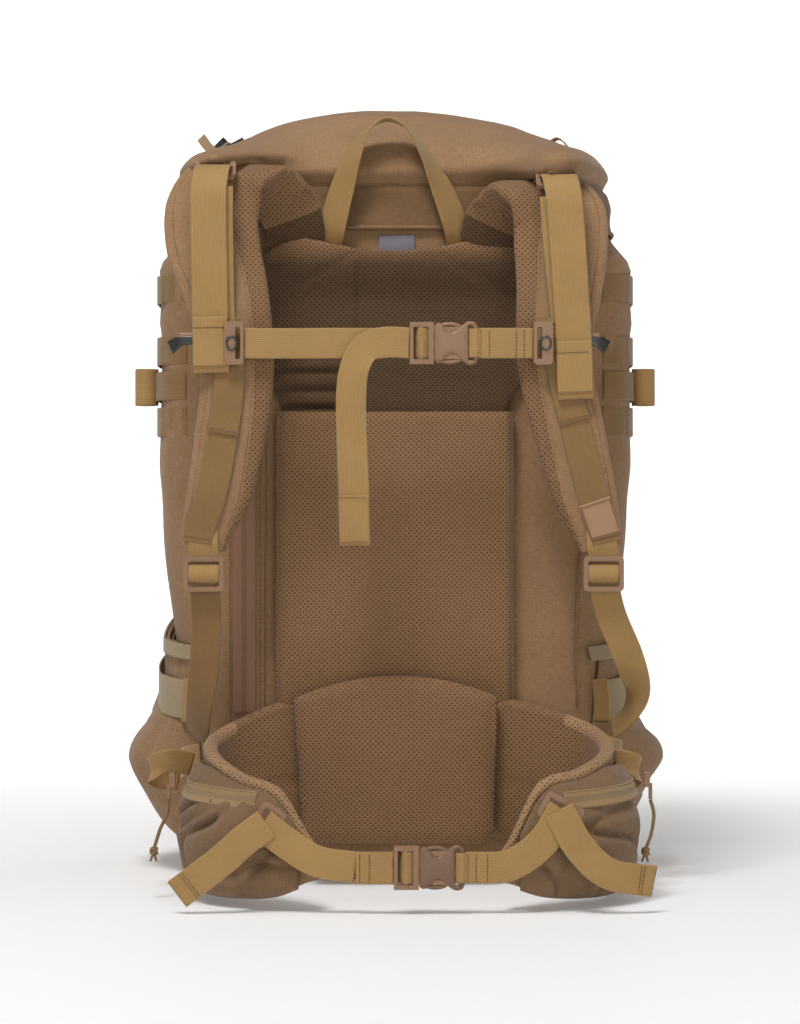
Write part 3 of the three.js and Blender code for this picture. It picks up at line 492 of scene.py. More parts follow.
def tube(name, points, radius, material, sides=8, closed=False):
    """A round tube through points."""
    curve = bpy.data.curves.new(name, "CURVE")
    curve.dimensions = "3D"
    curve.bevel_depth = radius
    curve.bevel_resolution = max(sides // 4, 1)
    curve.use_fill_caps = True
    spline = curve.splines.new("POLY")
    spline.points.add(len(points) - 1)
    for target, p in zip(spline.points, points):
        target.co = (*p, 1)
    spline.use_cyclic_u = closed
    curve.materials.append(material)
    made = bpy.data.objects.new(name, curve)
    SCENE.collection.objects.link(made)
    return made


def stitches(points, outward, pitch):
    """A row of raised thread stitches along a polyline; outward gives the way off the cloth at each point."""
    length, radius = 2.2 * MM, 0.35 * MM
    mesh = bmesh.new()
    travelled, next_stitch = 0.0, 0.0
    for i in range(len(points) - 1):
        a, b = points[i], points[i + 1]
        span = (b - a).length
        direction = (b - a).normalized() if span else SIDEWAYS
        up = Vector(outward(i) if callable(outward) else outward).normalized()
        side = direction.cross(up).normalized()
        while next_stitch < travelled + span:
            foot = a + direction * (next_stitch - travelled)
            rings = []
            for along, swell in ((-0.5, 0.3), (-0.25, 1.0), (0.25, 1.0), (0.5, 0.3)):
                centre = foot + direction * along * length + up * radius * (swell - 0.6)
                rings.append([mesh.verts.new(centre + (side * math.cos(k * math.pi / 2.5)
                                                       + up * math.sin(k * math.pi / 2.5)) * radius * swell)
                              for k in range(5)])
            for low, high in zip(rings, rings[1:]):
                for k in range(5):
                    mesh.faces.new((low[k], low[(k + 1) % 5], high[(k + 1) % 5], high[k]))
            mesh.faces.new(rings[0][::-1])
            mesh.faces.new(rings[-1])
            next_stitch += pitch
        travelled += span
    return finish_mesh("thread", mesh, LOOK["thread"])


def fold(p, scale, stretch=(1, 1, 1)):
    """Smooth noise from -1 to 1 at a point, longer along the axes with a large stretch."""
    q = Vector((p.x / stretch[0], p.y / stretch[1], p.z / stretch[2])) / scale
    return noise.noise(q)


def crease(p, scale, stretch=(1, 1, 1)):
    """Narrow creases: 0 on smooth cloth and up to 1 in a crease."""
    q = Vector((p.x / stretch[0], p.y / stretch[1], p.z / stretch[2])) / scale
    return max(0.0, 1 - abs(noise.noise(q)) * 7)


def smooth_step(value, low, high):
    """0 below low, 1 above high and a smooth rise between them."""
    t = min(max((value - low) / (high - low), 0), 1)
    return t * t * (3 - 2 * t)


def groove(distance, width):
    """1 in the middle of a sewn line, falling to 0 over the width."""
    return math.exp(-(distance / width) ** 2)


def side_sign(side):
    """-1 on the left, where X is negative, and 1 on the right."""
    return -1 if side == "left" else 1


def place(piece, body, slot, *nodes):
    """A finished piece rides on its body and hides the CAD nodes that it stands for; slot is not used."""
    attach(piece, body)
    if nodes:
        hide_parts(*nodes)
    return piece


def subdivide(piece):
    """One round of smooth subdivision."""
    modifier = piece.modifiers.new("smooth", "SUBSURF")
    modifier.levels = 1
    modifier.render_levels = 1
    return piece


def stretch_between(piece, node, near, far):
    """Webbing whose ends are on two bodies: hides the CAD node that it stands for and bakes its placement
    into its mesh.
    """
    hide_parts(node)
    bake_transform(piece)
    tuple(near)
    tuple(far)


# ---------------------------------------------------------------------------
# Ribbons and hard parts
# ---------------------------------------------------------------------------

def webbing_section(width, thick, columns=10):
    """Section of webbing at t: flat faces with a few columns, and round edges."""
    def section(t):
        w, h = at(width, t) / 2, at(thick, t) / 2
        top = [(-w + h + 2 * (w - h) * k / columns, h) for k in range(columns + 1)]
        bottom = [(u, -h) for u, _ in reversed(top)]
        return top + [(w - h * 0.25, h * 0.7), (w, 0), (w - h * 0.25, -h * 0.7)] + bottom + [
            (-w + h * 0.25, -h * 0.7), (-w, 0), (-w + h * 0.25, h * 0.7)]
    return section


def ribbon(name, route, across, width=WEBBING, thick=WEBBING_THICK, material="webbing", steps=60,
           lift=0.0, start=0.0, end=1.0):
    """A length of webbing along a route."""
    section = webbing_section(width, thick)
    return sweep(name, route, across, section, [LOOK[material]], steps, start, end, lift)


def dress(node, look, bevel):
    """Gives a CAD hard part its finish and rounds its moulded edges."""
    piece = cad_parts[node]
    piece.data.materials.clear()
    piece.data.materials.append(LOOK[look])
    if bevel:
        modifier = piece.modifiers.new("edges", "BEVEL")
        modifier.width = bevel
        modifier.segments = 3
        modifier.limit_method = "ANGLE"
        modifier.angle_limit = math.radians(35)
        modifier.harden_normals = True
    return piece


def sew_across(body, route, across, t, width=WEBBING, lift=1.0 * MM, rows=1):
    """Rows of stitches across webbing at t."""
    for k in range(rows):
        point, tangent, wide, face = strap_frame(route, across, t)
        middle = point + face * lift + tangent * k * 2.6 * MM
        line = [middle + wide * (i / 8 - 0.5) * width * 0.86 for i in range(9)]
        sew(body, line, face, 2.6 * MM)


def smooth_line(points, count):
    """Pairs of numbers on a smooth line through the given pairs."""
    bare = [Vector((a, b, 0)) for a, b in points]
    return [spline_point(bare, i / count).xy for i in range(count + 1)]


SEWING = {}


def sew(body, points, outward, pitch=3.2 * MM):
    """Keeps a line of thread stitches for one body; make_sewing builds them all at the end."""
    SEWING.setdefault(body, []).append((points, outward, pitch))


def make_sewing():
    """One stitching object for each body, from all the lines kept for it."""
    for body, lines in SEWING.items():
        parts = [stitches(*line) for line in lines]
        whole = parts[0]
        if len(parts) > 1:
            with bpy.context.temp_override(active_object=whole, selected_editable_objects=parts):
                bpy.ops.object.join()
        whole.name = f"stitching_{body}"
        place(whole, body, "webbing")


# ---------------------------------------------------------------------------
# The bag's own shape, which everything sewn on it follows
# ---------------------------------------------------------------------------

# height, half width, rear face, front face
BAG_PROFILE = [millimetres(*row) for row in (
    (0, 150, -112, 106), (10, 162, -126, 118), (32, 172, -135, 127), (100, 186, -135, 134),
    (200, 196, -135, 136), (380, 203, -135, 136), (540, 203, -135, 134), (566, 190, -135, 130),
    (600, 176, -134, 122))]
# height, half width, rear face, front face, corner radius
LID_PROFILE = [millimetres(*row) for row in (
    (568, 195, -140, 138, 76), (592, 192, -140, 140, 78), (610, 184, -140, 138, 80),
    (634, 165, -130, 130, 82), (655, 138, -112, 114, 80), (672, 104, -84, 88, 70),
    (683, 52, -44, 46, 38), (685, 20, -20, 20, 16))]


def profile_at(profile, z):
    """The profile's values at a height, straight between its rows."""
    i = 0
    while i < len(profile) - 2 and profile[i + 1][0] < z:
        i += 1
    low, high = profile[i], profile[i + 1]
    t = min(max((z - low[0]) / (high[0] - low[0]), 0), 1)
    return [a + (b - a) * t for a, b in zip(low[1:], high[1:])]


def side_swell(z):
    """How far the filled bag's sides bulge past their plain outline at a height."""
    return 8 * MM * (smooth_step(z, 0.19, 0.31) - smooth_step(z, 0.535, 0.575))


def past_corner(x):
    """0 on the bag's rear and front faces, 1 on its sides."""
    return smooth_step(x, 0.17, 0.195)


def bag_side(y, z):
    """Half width of the bag at a depth and height, without its swell."""
    half, rear, front = profile_at(BAG_PROFILE, z)
    radius = BAG_REAR_RADIUS if y < 0 else BAG_FRONT_RADIUS
    into = rear + radius - y if y < 0 else y - (front - radius)
    return half if into <= 0 else half - radius + math.sqrt(max(radius ** 2 - into ** 2, 0))


def swollen_side(y, z):
    """Half width of the bag at a depth and height, with its swell."""
    plain = bag_side(y, z)
    return plain + side_swell(z) * past_corner(plain)


def bag_rear(x, z):
    """Depth of the bag's rear face at a width and height."""
    half, rear = profile_at(BAG_PROFILE, z)[:2]
    into = abs(x) - (half - BAG_REAR_RADIUS)
    return rear if into <= 0 else rear + BAG_REAR_RADIUS - math.sqrt(max(BAG_REAR_RADIUS ** 2 - into ** 2, 0))


def body_ring(half, rear, front, rear_radius, front_radius, z):
    """A rounded outline at one height, with points all the way round."""
    corner_steps, side_steps = 9, 14
    corners = [(half - front_radius, front - front_radius, front_radius, 0),
               (-half + front_radius, front - front_radius, front_radius, 1),
               (-half + rear_radius, rear + rear_radius, rear_radius, 2),
               (half - rear_radius, rear + rear_radius, rear_radius, 3)]
    bare = []
    for x, y, radius, quarter in corners:
        for k in range(corner_steps + 1):
            angle = (quarter + k / corner_steps) * math.pi / 2
            bare.append(Vector((x + radius * math.cos(angle), y + radius * math.sin(angle), z)))
    points = []
    for i, (a, b) in enumerate(zip(bare, bare[1:] + bare[:1])):
        points.append(a)
        if i % (corner_steps + 1) == corner_steps:
            points += [a.lerp(b, k / side_steps) for k in range(1, side_steps)]
    return points


def shell(name, outer, inner, material):
    """A closed wall between two stacks of rings that meet at the rims."""
    mesh = bmesh.new()
    rings = [[mesh.verts.new(p) for p in ring] for ring in outer + inner[::-1]]
    count = len(rings[0])
    for low, high in zip(rings, rings[1:]):
        for k in range(count):
            mesh.faces.new((low[k], low[(k + 1) % count], high[(k + 1) % count], high[k]))
    mesh.faces.new(rings[0][::-1])
    mesh.faces.new(rings[-1])
    return finish_mesh(name, mesh, material)


def smooth_row(rows, t):
    """Values at t on a smooth curve through rows of numbers, t from 0 to 1."""
    place = min(max(t, 0), 1) * (len(rows) - 1)
    i = min(int(place), len(rows) - 2)
    w = place - i
    before, after = rows[max(i - 1, 0)], rows[min(i + 2, len(rows) - 1)]
    return [b + w * 0.5 * (c - a + w * (2 * a - 5 * b + 4 * c - d + w * (3 * (b - c) + d - a)))
            for a, b, c, d in zip(before, rows[i], rows[i + 1], after)]


def make_bag():
    """Bag body: slack cloth between its seams, flat where the back padding lies on it."""
    def dented(p):
        outwards = Vector((p.x, p.y * 1.4, 0)).normalized()
        behind_pad = 1 if p.y < -0.12 and abs(p.x) < 0.12 else 0
        slack = 1.0 - 0.75 * behind_pad
        dent = 0.8 + 1.4 * fold(p, 0.05, (1, 1, 1.6)) + 1.6 * crease(p, 0.085, (1, 1, 2.2))
        beside = past_corner(abs(p.x))
        puffed = sum(1.6 * groove(p.z - middle, half) for middle, half in
                     ((0.362, 0.018), (0.4915, 0.008), (0.543, 0.008)))
        return p + outwards * ((beside * puffed - max(dent, 0) * slack) * MM + beside * side_swell(p.z))
    heights = [0.0, 0.004, 0.010, 0.020, 0.032] + [0.032 + 0.568 * i / 72 for i in range(1, 73)]
    outer = [[dented(p) if z > 0.03 else p for p in
              body_ring(*profile_at(BAG_PROFILE, z), BAG_REAR_RADIUS, BAG_FRONT_RADIUS, z)] for z in heights]
    inner = []
    for z in heights[::6]:
        half, rear, front = profile_at(BAG_PROFILE, z)
        inner.append(body_ring(half - BAG_WALL, rear + BAG_WALL, front - BAG_WALL,
                               BAG_REAR_RADIUS - BAG_WALL, BAG_FRONT_RADIUS - BAG_WALL, max(z, BAG_WALL)))
    bag = place(shell("bag_body", outer, inner, LOOK["pack_fabric"]), "bag", "pack_fabric", "main_bag")


def on_rear(x, z, off=0.0):
    """Point on the bag's rear face, off metres outside it."""
    return Vector((x, bag_rear(x, z) - off, z))


def make_body_seams():
    """Stitched seams up the bag's rear, beside the zip and on the right panel."""
    for x, low, high in ((-0.117, 0.13, 0.42), (-0.1435, 0.13, 0.5)):
        sew("bag", [on_rear(x, low + (high - low) * i / 60, 0.3 * MM) for i in range(61)], (0, -1, 0))
    right = ((166, 540), (168, 470), (170, 400), (167, 330), (160, 270), (158, 215), (160, 150))
    left = ((-112, 560), (-112, 400), (-113, 250), (-113, 140))
    for name, line, count, radius in (("right_panel_seam", right, 60, 0.9),
                                      ("left_panel_seam", left, 40, 0.8)):
        welt = [on_rear(x * MM, z * MM, 0.2 * MM) for x, z in smooth_line(line, count)]
        place(tube(name, welt, radius * MM, LOOK["shade_fabric"]), "bag", "pack_fabric")


# ---------------------------------------------------------------------------
# Lid
# ---------------------------------------------------------------------------

# where each rear corner of the lid drapes over a load lifter:
# middle, half width, reach, lower edge and that edge's slope
LID_EARS = ((-0.150, 0.042, 0.098, 0.605, 0.30), (0.138, 0.038, 0.098, 0.597, -0.25))


def lid_ear(p):
    """How far the lid's rear corners drape outwards over the load lifters."""
    if p.y > 0:
        return Vector()
    reach = 0.0
    for x, width, depth, edge, slope in LID_EARS:
        across = math.exp(-((p.x - x) / width) ** 2)
        edge_here = edge + slope * (p.x - x)
        reach += depth * across * smooth_step(p.z, edge_here - 0.003, edge_here + 0.009) * (
            1 - smooth_step(p.z, 0.618, 0.650))
    return Vector((0, -reach, 0))


def lid_cloth(p):
    """Soft dents and pulls in the lid's cloth, which hangs over its seam."""
    outwards = Vector((p.x, p.y, 2 * max(p.z - 0.6, 0))).normalized()
    pulls = 2.2 * fold(p, 0.07, (1.4, 1.4, 0.8)) + 0.6 * fold(p, 0.02)
    pulls -= 2.0 * crease(p, 0.12, (1.5, 1.2, 0.7))
    above_seam = smooth_step(p.z, LID_SEAM - 0.001, LID_SEAM + 0.010)
    overhang = 10.0 * (above_seam - smooth_step(p.z, 0.625, 0.665))
    near_seam = groove(p.z - LID_SEAM, 0.0035)
    return p + lid_ear(p) + outwards * (pulls + overhang - 2.4 * near_seam) * MM


def make_lid():
    """Domed lid: its top in pack cloth, a band under its seam painted darker as shade, and a hem."""
    count = 64
    rows = [smooth_row(LID_PROFILE, i / count) for i in range(count + 1)]
    outer, inner = [], []
    for z, half, rear, front, radius in rows:
        outer.append([lid_cloth(p) for p in body_ring(half, rear, front, radius, radius, z)])
    for z, half, rear, front, radius in rows[::4]:
        ring = body_ring(half - LID_WALL, rear + LID_WALL, front - LID_WALL,
                         radius - LID_WALL, radius - LID_WALL, z if z < LID_HEM else z - LID_WALL)
        inner.append([p + lid_ear(p) for p in ring])
    lid = place(shell("lid_cap", outer[::-1], inner[::-1], LOOK["pack_fabric"]), "lid", "pack_fabric", "lid")
    # painted shade: faces below the seam take the darker cloth
    lid.data.materials.append(LOOK["shaded_panel_fabric"])
    for face in lid.data.polygons:
        face.material_index = 1 if face.center.z < LID_SEAM else 0
    for name, z, thickness in (("lid_piping", LID_SEAM, 1.5), ("lid_hem", LID_HEM, 2.0)):
        half, rear, front, radius = profile_at(LID_PROFILE, z)
        line = [lid_cloth(p) for p in body_ring(half, rear, front, radius, radius, z)]
        place(tube(name, line, thickness * MM, LOOK["shade_fabric"], closed=True), "lid", "pack_fabric")


def make_lid_fittings():
    """Webbing, hardware and small loops along the lid's left and right edges."""
    heights = (656, 646, 634, 622, 610, 598)
    side = [Vector((-profile_at(LID_PROFILE, z * MM)[0] - 3.4 * MM, -0.02, (z + 1.5) * MM)) for z in heights]
    place(ribbon("lid_side_webbing", side, (0, 1, 0), 20 * MM, material="lid_webbing", steps=40),
          "lid", "webbing", "lid_strap")

    def strip(name, route, across, width, steps=24):
        webbing = ribbon(name, vectors(route), across, width * MM, material="lid_webbing", steps=steps)
        place(webbing, "lid", "webbing")
    strip("lid_edge_webbing", ((-150, -52, 650), (-163, -60, 640), (-176, -66, 622), (-187, -70, 600),
                               (-194, -72, 578)), (0.3, 1, 0), 16, 40)
    strip("lid_tail", ((-152, -60, 641), (-160, -66, 643), (-167, -70, 648), (-173, -72, 656)),
          (0.5, 1, 0.2), 17)
    wide, high = Vector((0.78, 0, 0.42)) * 6 * MM, Vector((-0.42, 0, 0.78)) * 5 * MM
    for k, (x, z) in enumerate(((-150, 643), (-139, 648))):
        centre = Vector((x, -72, z)) * MM
        corners = [centre + wide * a + high * b for a, b in ((-1, -1), (1, -1), (1, 1), (-1, 1))]
        glide = tube(f"lid_glide_{k + 1}", corners, 1.7 * MM, LOOK["black_plastic"], closed=True)
        place(glide, "lid", "black_plastic")
    strip("lid_right_loop", ((139, -40, 655), (147, -44, 658), (154, -46, 652), (155, -46, 644),
                             (152, -44, 639)), (0.2, 1, 0), 14)
    dress("lid_buckle", "black_plastic", 0.8 * MM)


# ---------------------------------------------------------------------------
# Back padding
# ---------------------------------------------------------------------------

def soft_copy(name, node, look, voxel, rounds, move, extra_look=None, paint=None):
    """A CAD soft solid with rounded edges and its own surface relief."""
    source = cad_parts[node]
    data = source.data.copy()
    data.transform(source.matrix_world)
    data.materials.clear()
    piece = bpy.data.objects.new(name, data)
    SCENE.collection.objects.link(piece)
    remesh = piece.modifiers.new("remesh", "REMESH")
    remesh.mode = "VOXEL"
    remesh.voxel_size = voxel
    rounding = piece.modifiers.new("round", "SMOOTH")
    rounding.iterations = rounds
    rounding.factor = 0.5
    ready = bpy.data.meshes.new_from_object(piece.evaluated_get(bpy.context.evaluated_depsgraph_get()))
    piece.modifiers.clear()
    piece.data = ready
    for each in [look] + ([extra_look] if extra_look else []):
        ready.materials.append(LOOK[each])
    ready.update()
    moved = [v.co + move(v.co.copy(), v.normal.copy()) for v in ready.vertices]
    for v, co in zip(ready.vertices, moved):
        v.co = co
    if paint:
        for face in ready.polygons:
            face.material_index = paint(face.center)
    ready.polygons.foreach_set("use_smooth", [True] * len(ready.polygons))
    return subdivide(piece)


def yoke_relief(p, normal):
    """A yoke with a full rim, a hollow below it, diagonal lines and three ridges low on the left."""
    wider = Vector((p.x * 0.16 * smooth_step(p.z, 0.412, 0.44), 0, 0))
    if normal.y > -0.5:
        return wider
    hollow = smooth_step(p.z, 0.44, 0.47) - smooth_step(p.z, 0.50, 0.53)
    depth = 9.0 * smooth_step(p.z, 0.505, 0.548) - 4.2 * hollow
    for x0, z0, x1, z1 in ((-0.03, 0.545, -0.105, 0.500), (0.03, 0.545, 0.105, 0.500)):
        along = (p.x - x0) / (x1 - x0)
        if 0 <= along <= 1:
            depth -= 1.2 * groove(p.z - (z0 + (z1 - z0) * along), 0.004)
    if -0.102 < p.x < -0.030:
        for z in (0.4565, 0.4425, 0.4270, 0.4115):
            depth -= 5.0 * groove(p.z - z, 0.0028)
        depth += 3.4
    depth += 0.8 * fold(p, 0.06)
    return wider + Vector((0, -depth * MM, 0))


def on_ridges(p):
    """1 on the three ridges low on the yoke's left, which are painted in shade."""
    return 1 if -0.112 < p.x < -0.034 and 0.4115 < p.z < 0.4565 else 0


def back_pad_relief(p, normal):
    """Flat with a sewn edge; its foot runs on, thinner, behind the lumbar cushion."""
    foot = 1 - smooth_step(p.z, 0.176, 0.215)
    shape = Vector((-p.x * 0.045, 0, -26 * MM * foot))
    if normal.y > -0.4:
        return shape
    rim = min(0.108 - abs(p.x), 0.409 - p.z)
    depth = -2.6 * groove(rim, 0.004) - 4.5 * foot + 0.9 * fold(p, 0.09) + 0.5 * fold(p, 0.03)
    return shape + Vector((0, -depth * MM, 0))


def lumbar_relief(p, normal):
    """Fuller in the middle, with a sewn edge."""
    if normal.y > -0.2:
        return Vector()
    rim = min(0.084 - abs(p.x), p.z - 0.040, 0.178 - 1.9 * p.x ** 2 - p.z)
    across = math.cos(min(abs(p.x) / 0.1, 1) * math.pi / 2)
    upright = math.sin(min(max((p.z - 0.03) / 0.16, 0), 1) * math.pi)
    depth = -2.6 * groove(rim, 0.005) + 4.5 * across * upright + 0.9 * fold(p, 0.06)
    return Vector((0, -depth * MM, 0))


def make_back_padding():
    """The three pads that rest on the wearer's back."""
    # the yoke is painted in shade with a lit upper rim; its ridges take the other painted-shade mesh
    yoke = soft_copy("yoke_padding", "yoke_pad", "shaded_yoke_mesh", 2.4 * MM, 4, yoke_relief,
                     "shaded_mesh", on_ridges)
    pad = soft_copy("lower_back_padding", "back_pad", "air_mesh", 2.8 * MM, 1, back_pad_relief)
    lumbar = soft_copy("lumbar_cushion", "lumbar_pad", "air_mesh", 2.8 * MM, 5, lumbar_relief)
    for piece, body, node, fill in ((yoke, "yoke", "yoke_pad", 0.8), (pad, "bag", "back_pad", 0.9),
                                    (lumbar, "bag", "lumbar_pad", 1.0)):
        place(piece, body, "air_mesh", node)


# ---------------------------------------------------------------------------
# Shoulder straps and their webbing
# ---------------------------------------------------------------------------

STRAP_ROUTE = {
    "left": vectors(((-88, -147.5, 545), (-86, -154, 568), (-97, -161, 591), (-118, -175, 609),
                     (-140, -191, 605),
                     (-154, -204, 578), (-153, -213, 546), (-143, -221, 512), (-135, -226, 475),
                     (-132, -228, 435), (-138, -226, 385), (-148, -221, 336), (-158, -215, 308),
                     (-161, -213, 292))),
    "right": vectors(((84, -147.5, 543), (82, -154, 564), (92, -161, 581), (108, -175, 596), (126, -191, 592),
                      (139, -204, 572), (140, -213, 542), (138, -221, 508), (134, -226, 475),
                      (134, -228, 442), (145, -226, 395), (159, -221, 340), (170, -215, 308),
                      (174, -213, 292))),
}
# the strap's width direction from root to tip; the right strap's is the left one's mirrored
LEFT_ACROSS = [Vector(v) for v in ((0.9, 0, 0.42), (1, 0, 0.1), (0.9, 0, -0.35), (0.95, -0.1, -0.2),
                                   (0.97, -0.15, 0), *[(1, 0, 0)] * 9)]
STRAP_ACROSS = {"left": LEFT_ACROSS, "right": [Vector((v.x, -v.y, -v.z)) for v in LEFT_ACROSS]}
STRAP_WIDTH = millimetres(50, 50, 56, 64, 74, 80, 79, 72, 65, 61, 60, 54, 42, 36)
STRAP_THICK = millimetres(4, 15, 21, 21, 16, 14, 13, 13, 13, 13, 13, 12, 10, 9)
# width of the perforated band along the strap's inner edge, and of the narrow one along its outer edge
INNER_BAND = millimetres(18, 20, 26, 32, 30, 24, 20, 17, 16, 16, 13, 8, 4, 3)
OUTER_BAND = millimetres(5, 5, 5, 6, 6, 6, 7, 7, 6, 5, 4, 4, 3, 3)
OUTER_COLUMNS, MAIN_COLUMNS, INNER_COLUMNS = 6, 18, 9


def strap_columns(side, t):
    """Positions across a strap from its outer to its inner edge, with the two seams on fixed columns."""
    half = at(STRAP_WIDTH, t) / 2
    outer_seam, inner_seam = -half + at(OUTER_BAND, t), half - at(INNER_BAND, t)
    columns = []
    for i in range(OUTER_COLUMNS):
        columns.append(-half + (outer_seam + half) * (i / OUTER_COLUMNS) ** 1.5)
    for i in range(MAIN_COLUMNS):
        columns.append(outer_seam + (inner_seam - outer_seam) * i / MAIN_COLUMNS)
    for i in range(INNER_COLUMNS + 1):
        columns.append(inner_seam + (half - inner_seam) * (1 - (1 - i / INNER_COLUMNS) ** 1.5))
    return columns, half


def make_shoulder_strap(side):
    """Foam strap: cloth over its face, perforated bands on its edges and underside, painted shade on the mesh
    under its arch, and sunk seams.
    """
    route, across = STRAP_ROUTE[side], STRAP_ACROSS[side]
    inward = -side_sign(side)
    seams = (OUTER_COLUMNS, OUTER_COLUMNS + MAIN_COLUMNS)

    def section(t):
        columns, half = strap_columns(side, t)
        thick = at(STRAP_THICK, t) / 2
        top, bottom = [], []
        squareness = 2.4 + 2.6 * smooth_step(t, 0.18, 0.34)
        for i, u in enumerate(columns):
            full = max(1 - (abs(u) / half) ** squareness, 0) ** 0.5
            sunk = sum(groove(i - seam, 0.9) for seam in seams) * 0.9 * MM
            here = spline_point(route, t) + Vector((u * inward, 0, 0))
            puff = 0.7 * MM * fold(here, 0.035) + 0.35 * MM * fold(here, 0.012)
            top.append((u, full * (thick - sunk + puff)))
            bottom.append((u, -full * thick))
        loop = top + bottom[-2:0:-1]
        if inward > 0:
            return loop
        return [(-u, v) for u, v in loop]

    def paint(t, k):
        on_top = k < seams[1] and k >= seams[0]
        slant = 0.25 + 0.06 * (k - seams[0]) / MAIN_COLUMNS
        # painted shade: the strap's root, under its arch, takes the darker mesh
        if t < 0.10 + 0.05 * (k < seams[1]):
            return 2
        outer_side = k < seams[0] or k > 2 * (seams[1] + INNER_COLUMNS) - OUTER_COLUMNS
        return 0 if (on_top or outer_side) and t > slant else 1

    piece = sweep(f"{side}_strap_pad", route, across, section,
                  [LOOK["pack_fabric"], LOOK["air_mesh"], LOOK["shaded_mesh"]], 170, paint=paint)
    place(piece, "yoke", "pack_fabric", f"{side}_shoulder_strap")
    for edge in reversed(seams):
        line, ups = [], []
        for i in range(181):
            t = 0.3 + 0.685 * i / 180
            point, _, wide, face = strap_frame(route, across, t)
            columns, half = strap_columns(side, t)
            u = columns[edge] - 1.8 * MM if edge == seams[1] else columns[edge] + 1.5 * MM
            full = max(1 - (abs(u) / half) ** 5, 0) ** 0.5
            line.append(point + wide * u * inward + face * (full * (at(STRAP_THICK, t) / 2 - 0.5 * MM)))
            ups.append(face)
        sew("yoke", line, lambda i, ups=ups: ups[i])


RAIL_SHIFT = {"left": -6 * MM, "right": 6 * MM}


def make_strap_rail(side):
    """Webbing sewn down the strap's face: a wide flat top length, then a lower length set at an angle."""
    route = [Vector((p.x + RAIL_SHIFT[side], p.y, p.z)) for p in STRAP_ROUTE[side]]
    off = STRAP_FOAM / 2 + 0.6 * MM + WEBBING_THICK / 2
    flat = SIDEWAYS
    lower = ribbon(f"{side}_rail_lower", route, flat, material="shade_webbing", start=0.64, end=0.975,
                   lift=off, steps=70)
    place(lower, "yoke", "webbing", f"{side}_strap_rail")
    upper = ribbon(f"{side}_rail_upper", route, flat, material="shade_webbing", start=0.60, end=0.765,
                   lift=off + 1.7 * MM, steps=40)
    place(upper, "yoke", "webbing")
    sew_across("yoke", route, flat, 0.76, lift=off + 2.7 * MM)
    sew_across("yoke", route, flat, 0.955, lift=off + 1.0 * MM)


LIFTER_ROUTE = {
    "left": vectors(((-140, -144, 602), (-146, -178, 608), (-151, -209, 613), (-153, -230, 611),
                     (-155, -241, 594),
                     (-155, -243, 560), (-154, -241, 490), (-153, -241, 438))),
    "right": vectors(((126, -144, 598), (131, -178, 601), (136, -209, 605), (138, -230, 603),
                      (141, -241, 586),
                      (144, -243, 548), (149, -241, 470), (151, -241, 416))),
}


def make_load_lifter(side):
    """Webbing from the bag over the strap; its hanging end is folded back and sewn."""
    route, flat = LIFTER_ROUTE[side], SIDEWAYS
    main = ribbon(f"{side}_lifter_webbing", route, flat, LIFTER_WIDTH, steps=110)
    stretch_between(main, f"{side}_load_lifter", route[0], route[2])
    hem = ribbon(f"{side}_lifter_hem", route, flat, LIFTER_WIDTH * 0.99, start=0.87, end=0.985,
                 lift=1.75 * MM, steps=24)
    place(hem, "yoke", "webbing")
    sew_across("yoke", route, flat, 0.895, LIFTER_WIDTH, 2.8 * MM)
    # the same webbing runs on from the buckle down to the sternum clip, under the hanging end
    under = [p + Vector((9 if side == "left" else -9, 5, 0)) * MM for p in route[4:]]
    under[-1].z = 0.48
    under[-2].z = 0.50
    place(ribbon(f"{side}_lifter_under", under, flat, 22 * MM, steps=50), "yoke", "webbing")
    dress(f"{side}_lifter_buckle", "tan_plastic", 1.2 * MM)


LOWER_STRAP = {
    "left": ("shade_webbing",
             ((-161, -203, 266), (-160, -198, 228), (-163, -184, 190), (-168, -166, 158), (-172, -140, 126)),
             ((1, 0, 0), (1, 0, 0), (0.97, -0.2, 0.1), (0.8, -0.6, 0.2), (0.5, -0.8, 0.2))),
    "right": ("webbing",
              ((176, -203, 266), (183, -201, 236), (199, -192, 198), (207, -178, 168), (199, -163, 146),
               (188, -152, 134)),
              ((1, 0, 0.1), (1, 0, 0.25), (0.9, -0.1, 0.3), (0.6, -0.6, 0.1), (0.3, -0.9, -0.2),
               (0.4, -0.9, -0.1))),
}


def make_lower_strap(side):
    """Slack webbing from the strap's ladder lock down to the bag, with the tab that holds the lock."""
    look, points, turn = LOWER_STRAP[side]
    route = vectors(points)
    main = ribbon(f"{side}_lower_webbing", route, [Vector(v) for v in turn], material=look, steps=70)
    stretch_between(main, f"{side}_lower_strap", route[-1], route[0])
    high = STRAP_ROUTE[side][-1]
    x = points[0][0]
    hold = [high + Vector((0, -7, 22)) * MM, high + Vector((0, -8, 4)) * MM,
            Vector((x, -216.5, 286)) * MM, Vector((x, -212.5, 281)) * MM]
    place(ribbon(f"{side}_lock_tab", hold, SIDEWAYS, steps=30), "yoke", "webbing")
    # threads over the lock's middle bar
    over = vectors(((x, -209, 279), (x, -216, 276), (x, -218.5, 270), (x, -216, 264), (x, -206, 260)))
    place(ribbon(f"{side}_lock_wrap", over, SIDEWAYS, steps=24), f"{side}_lock", "webbing")
    dress(f"{side}_ladder_lock", "tan_plastic", 1.6 * MM)


# ---------------------------------------------------------------------------
# Sternum strap
# ---------------------------------------------------------------------------

BUCKLE = {
    "sternum": ("sternum", Vector((41, STERNUM_PLANE, STERNUM_HEIGHT)) * MM, "tan_plastic"),
    "waist": ("bag", Vector((28, WAIST_PLANE, WAIST_HEIGHT)) * MM, "shade_plastic"),
}
# half height and thickness of the receiving half from its mouth to its neck
SHELL_HEIGHT = millimetres(15.5, 17.2, 16.6, 13.2, 10.4, 9.4, 10.4, 13.4, 16.4, 17.2)
SHELL_THICK = millimetres(8.5, 10.5, 10.5, 10, 9.5, 9, 8.5, 8, 7, 5)


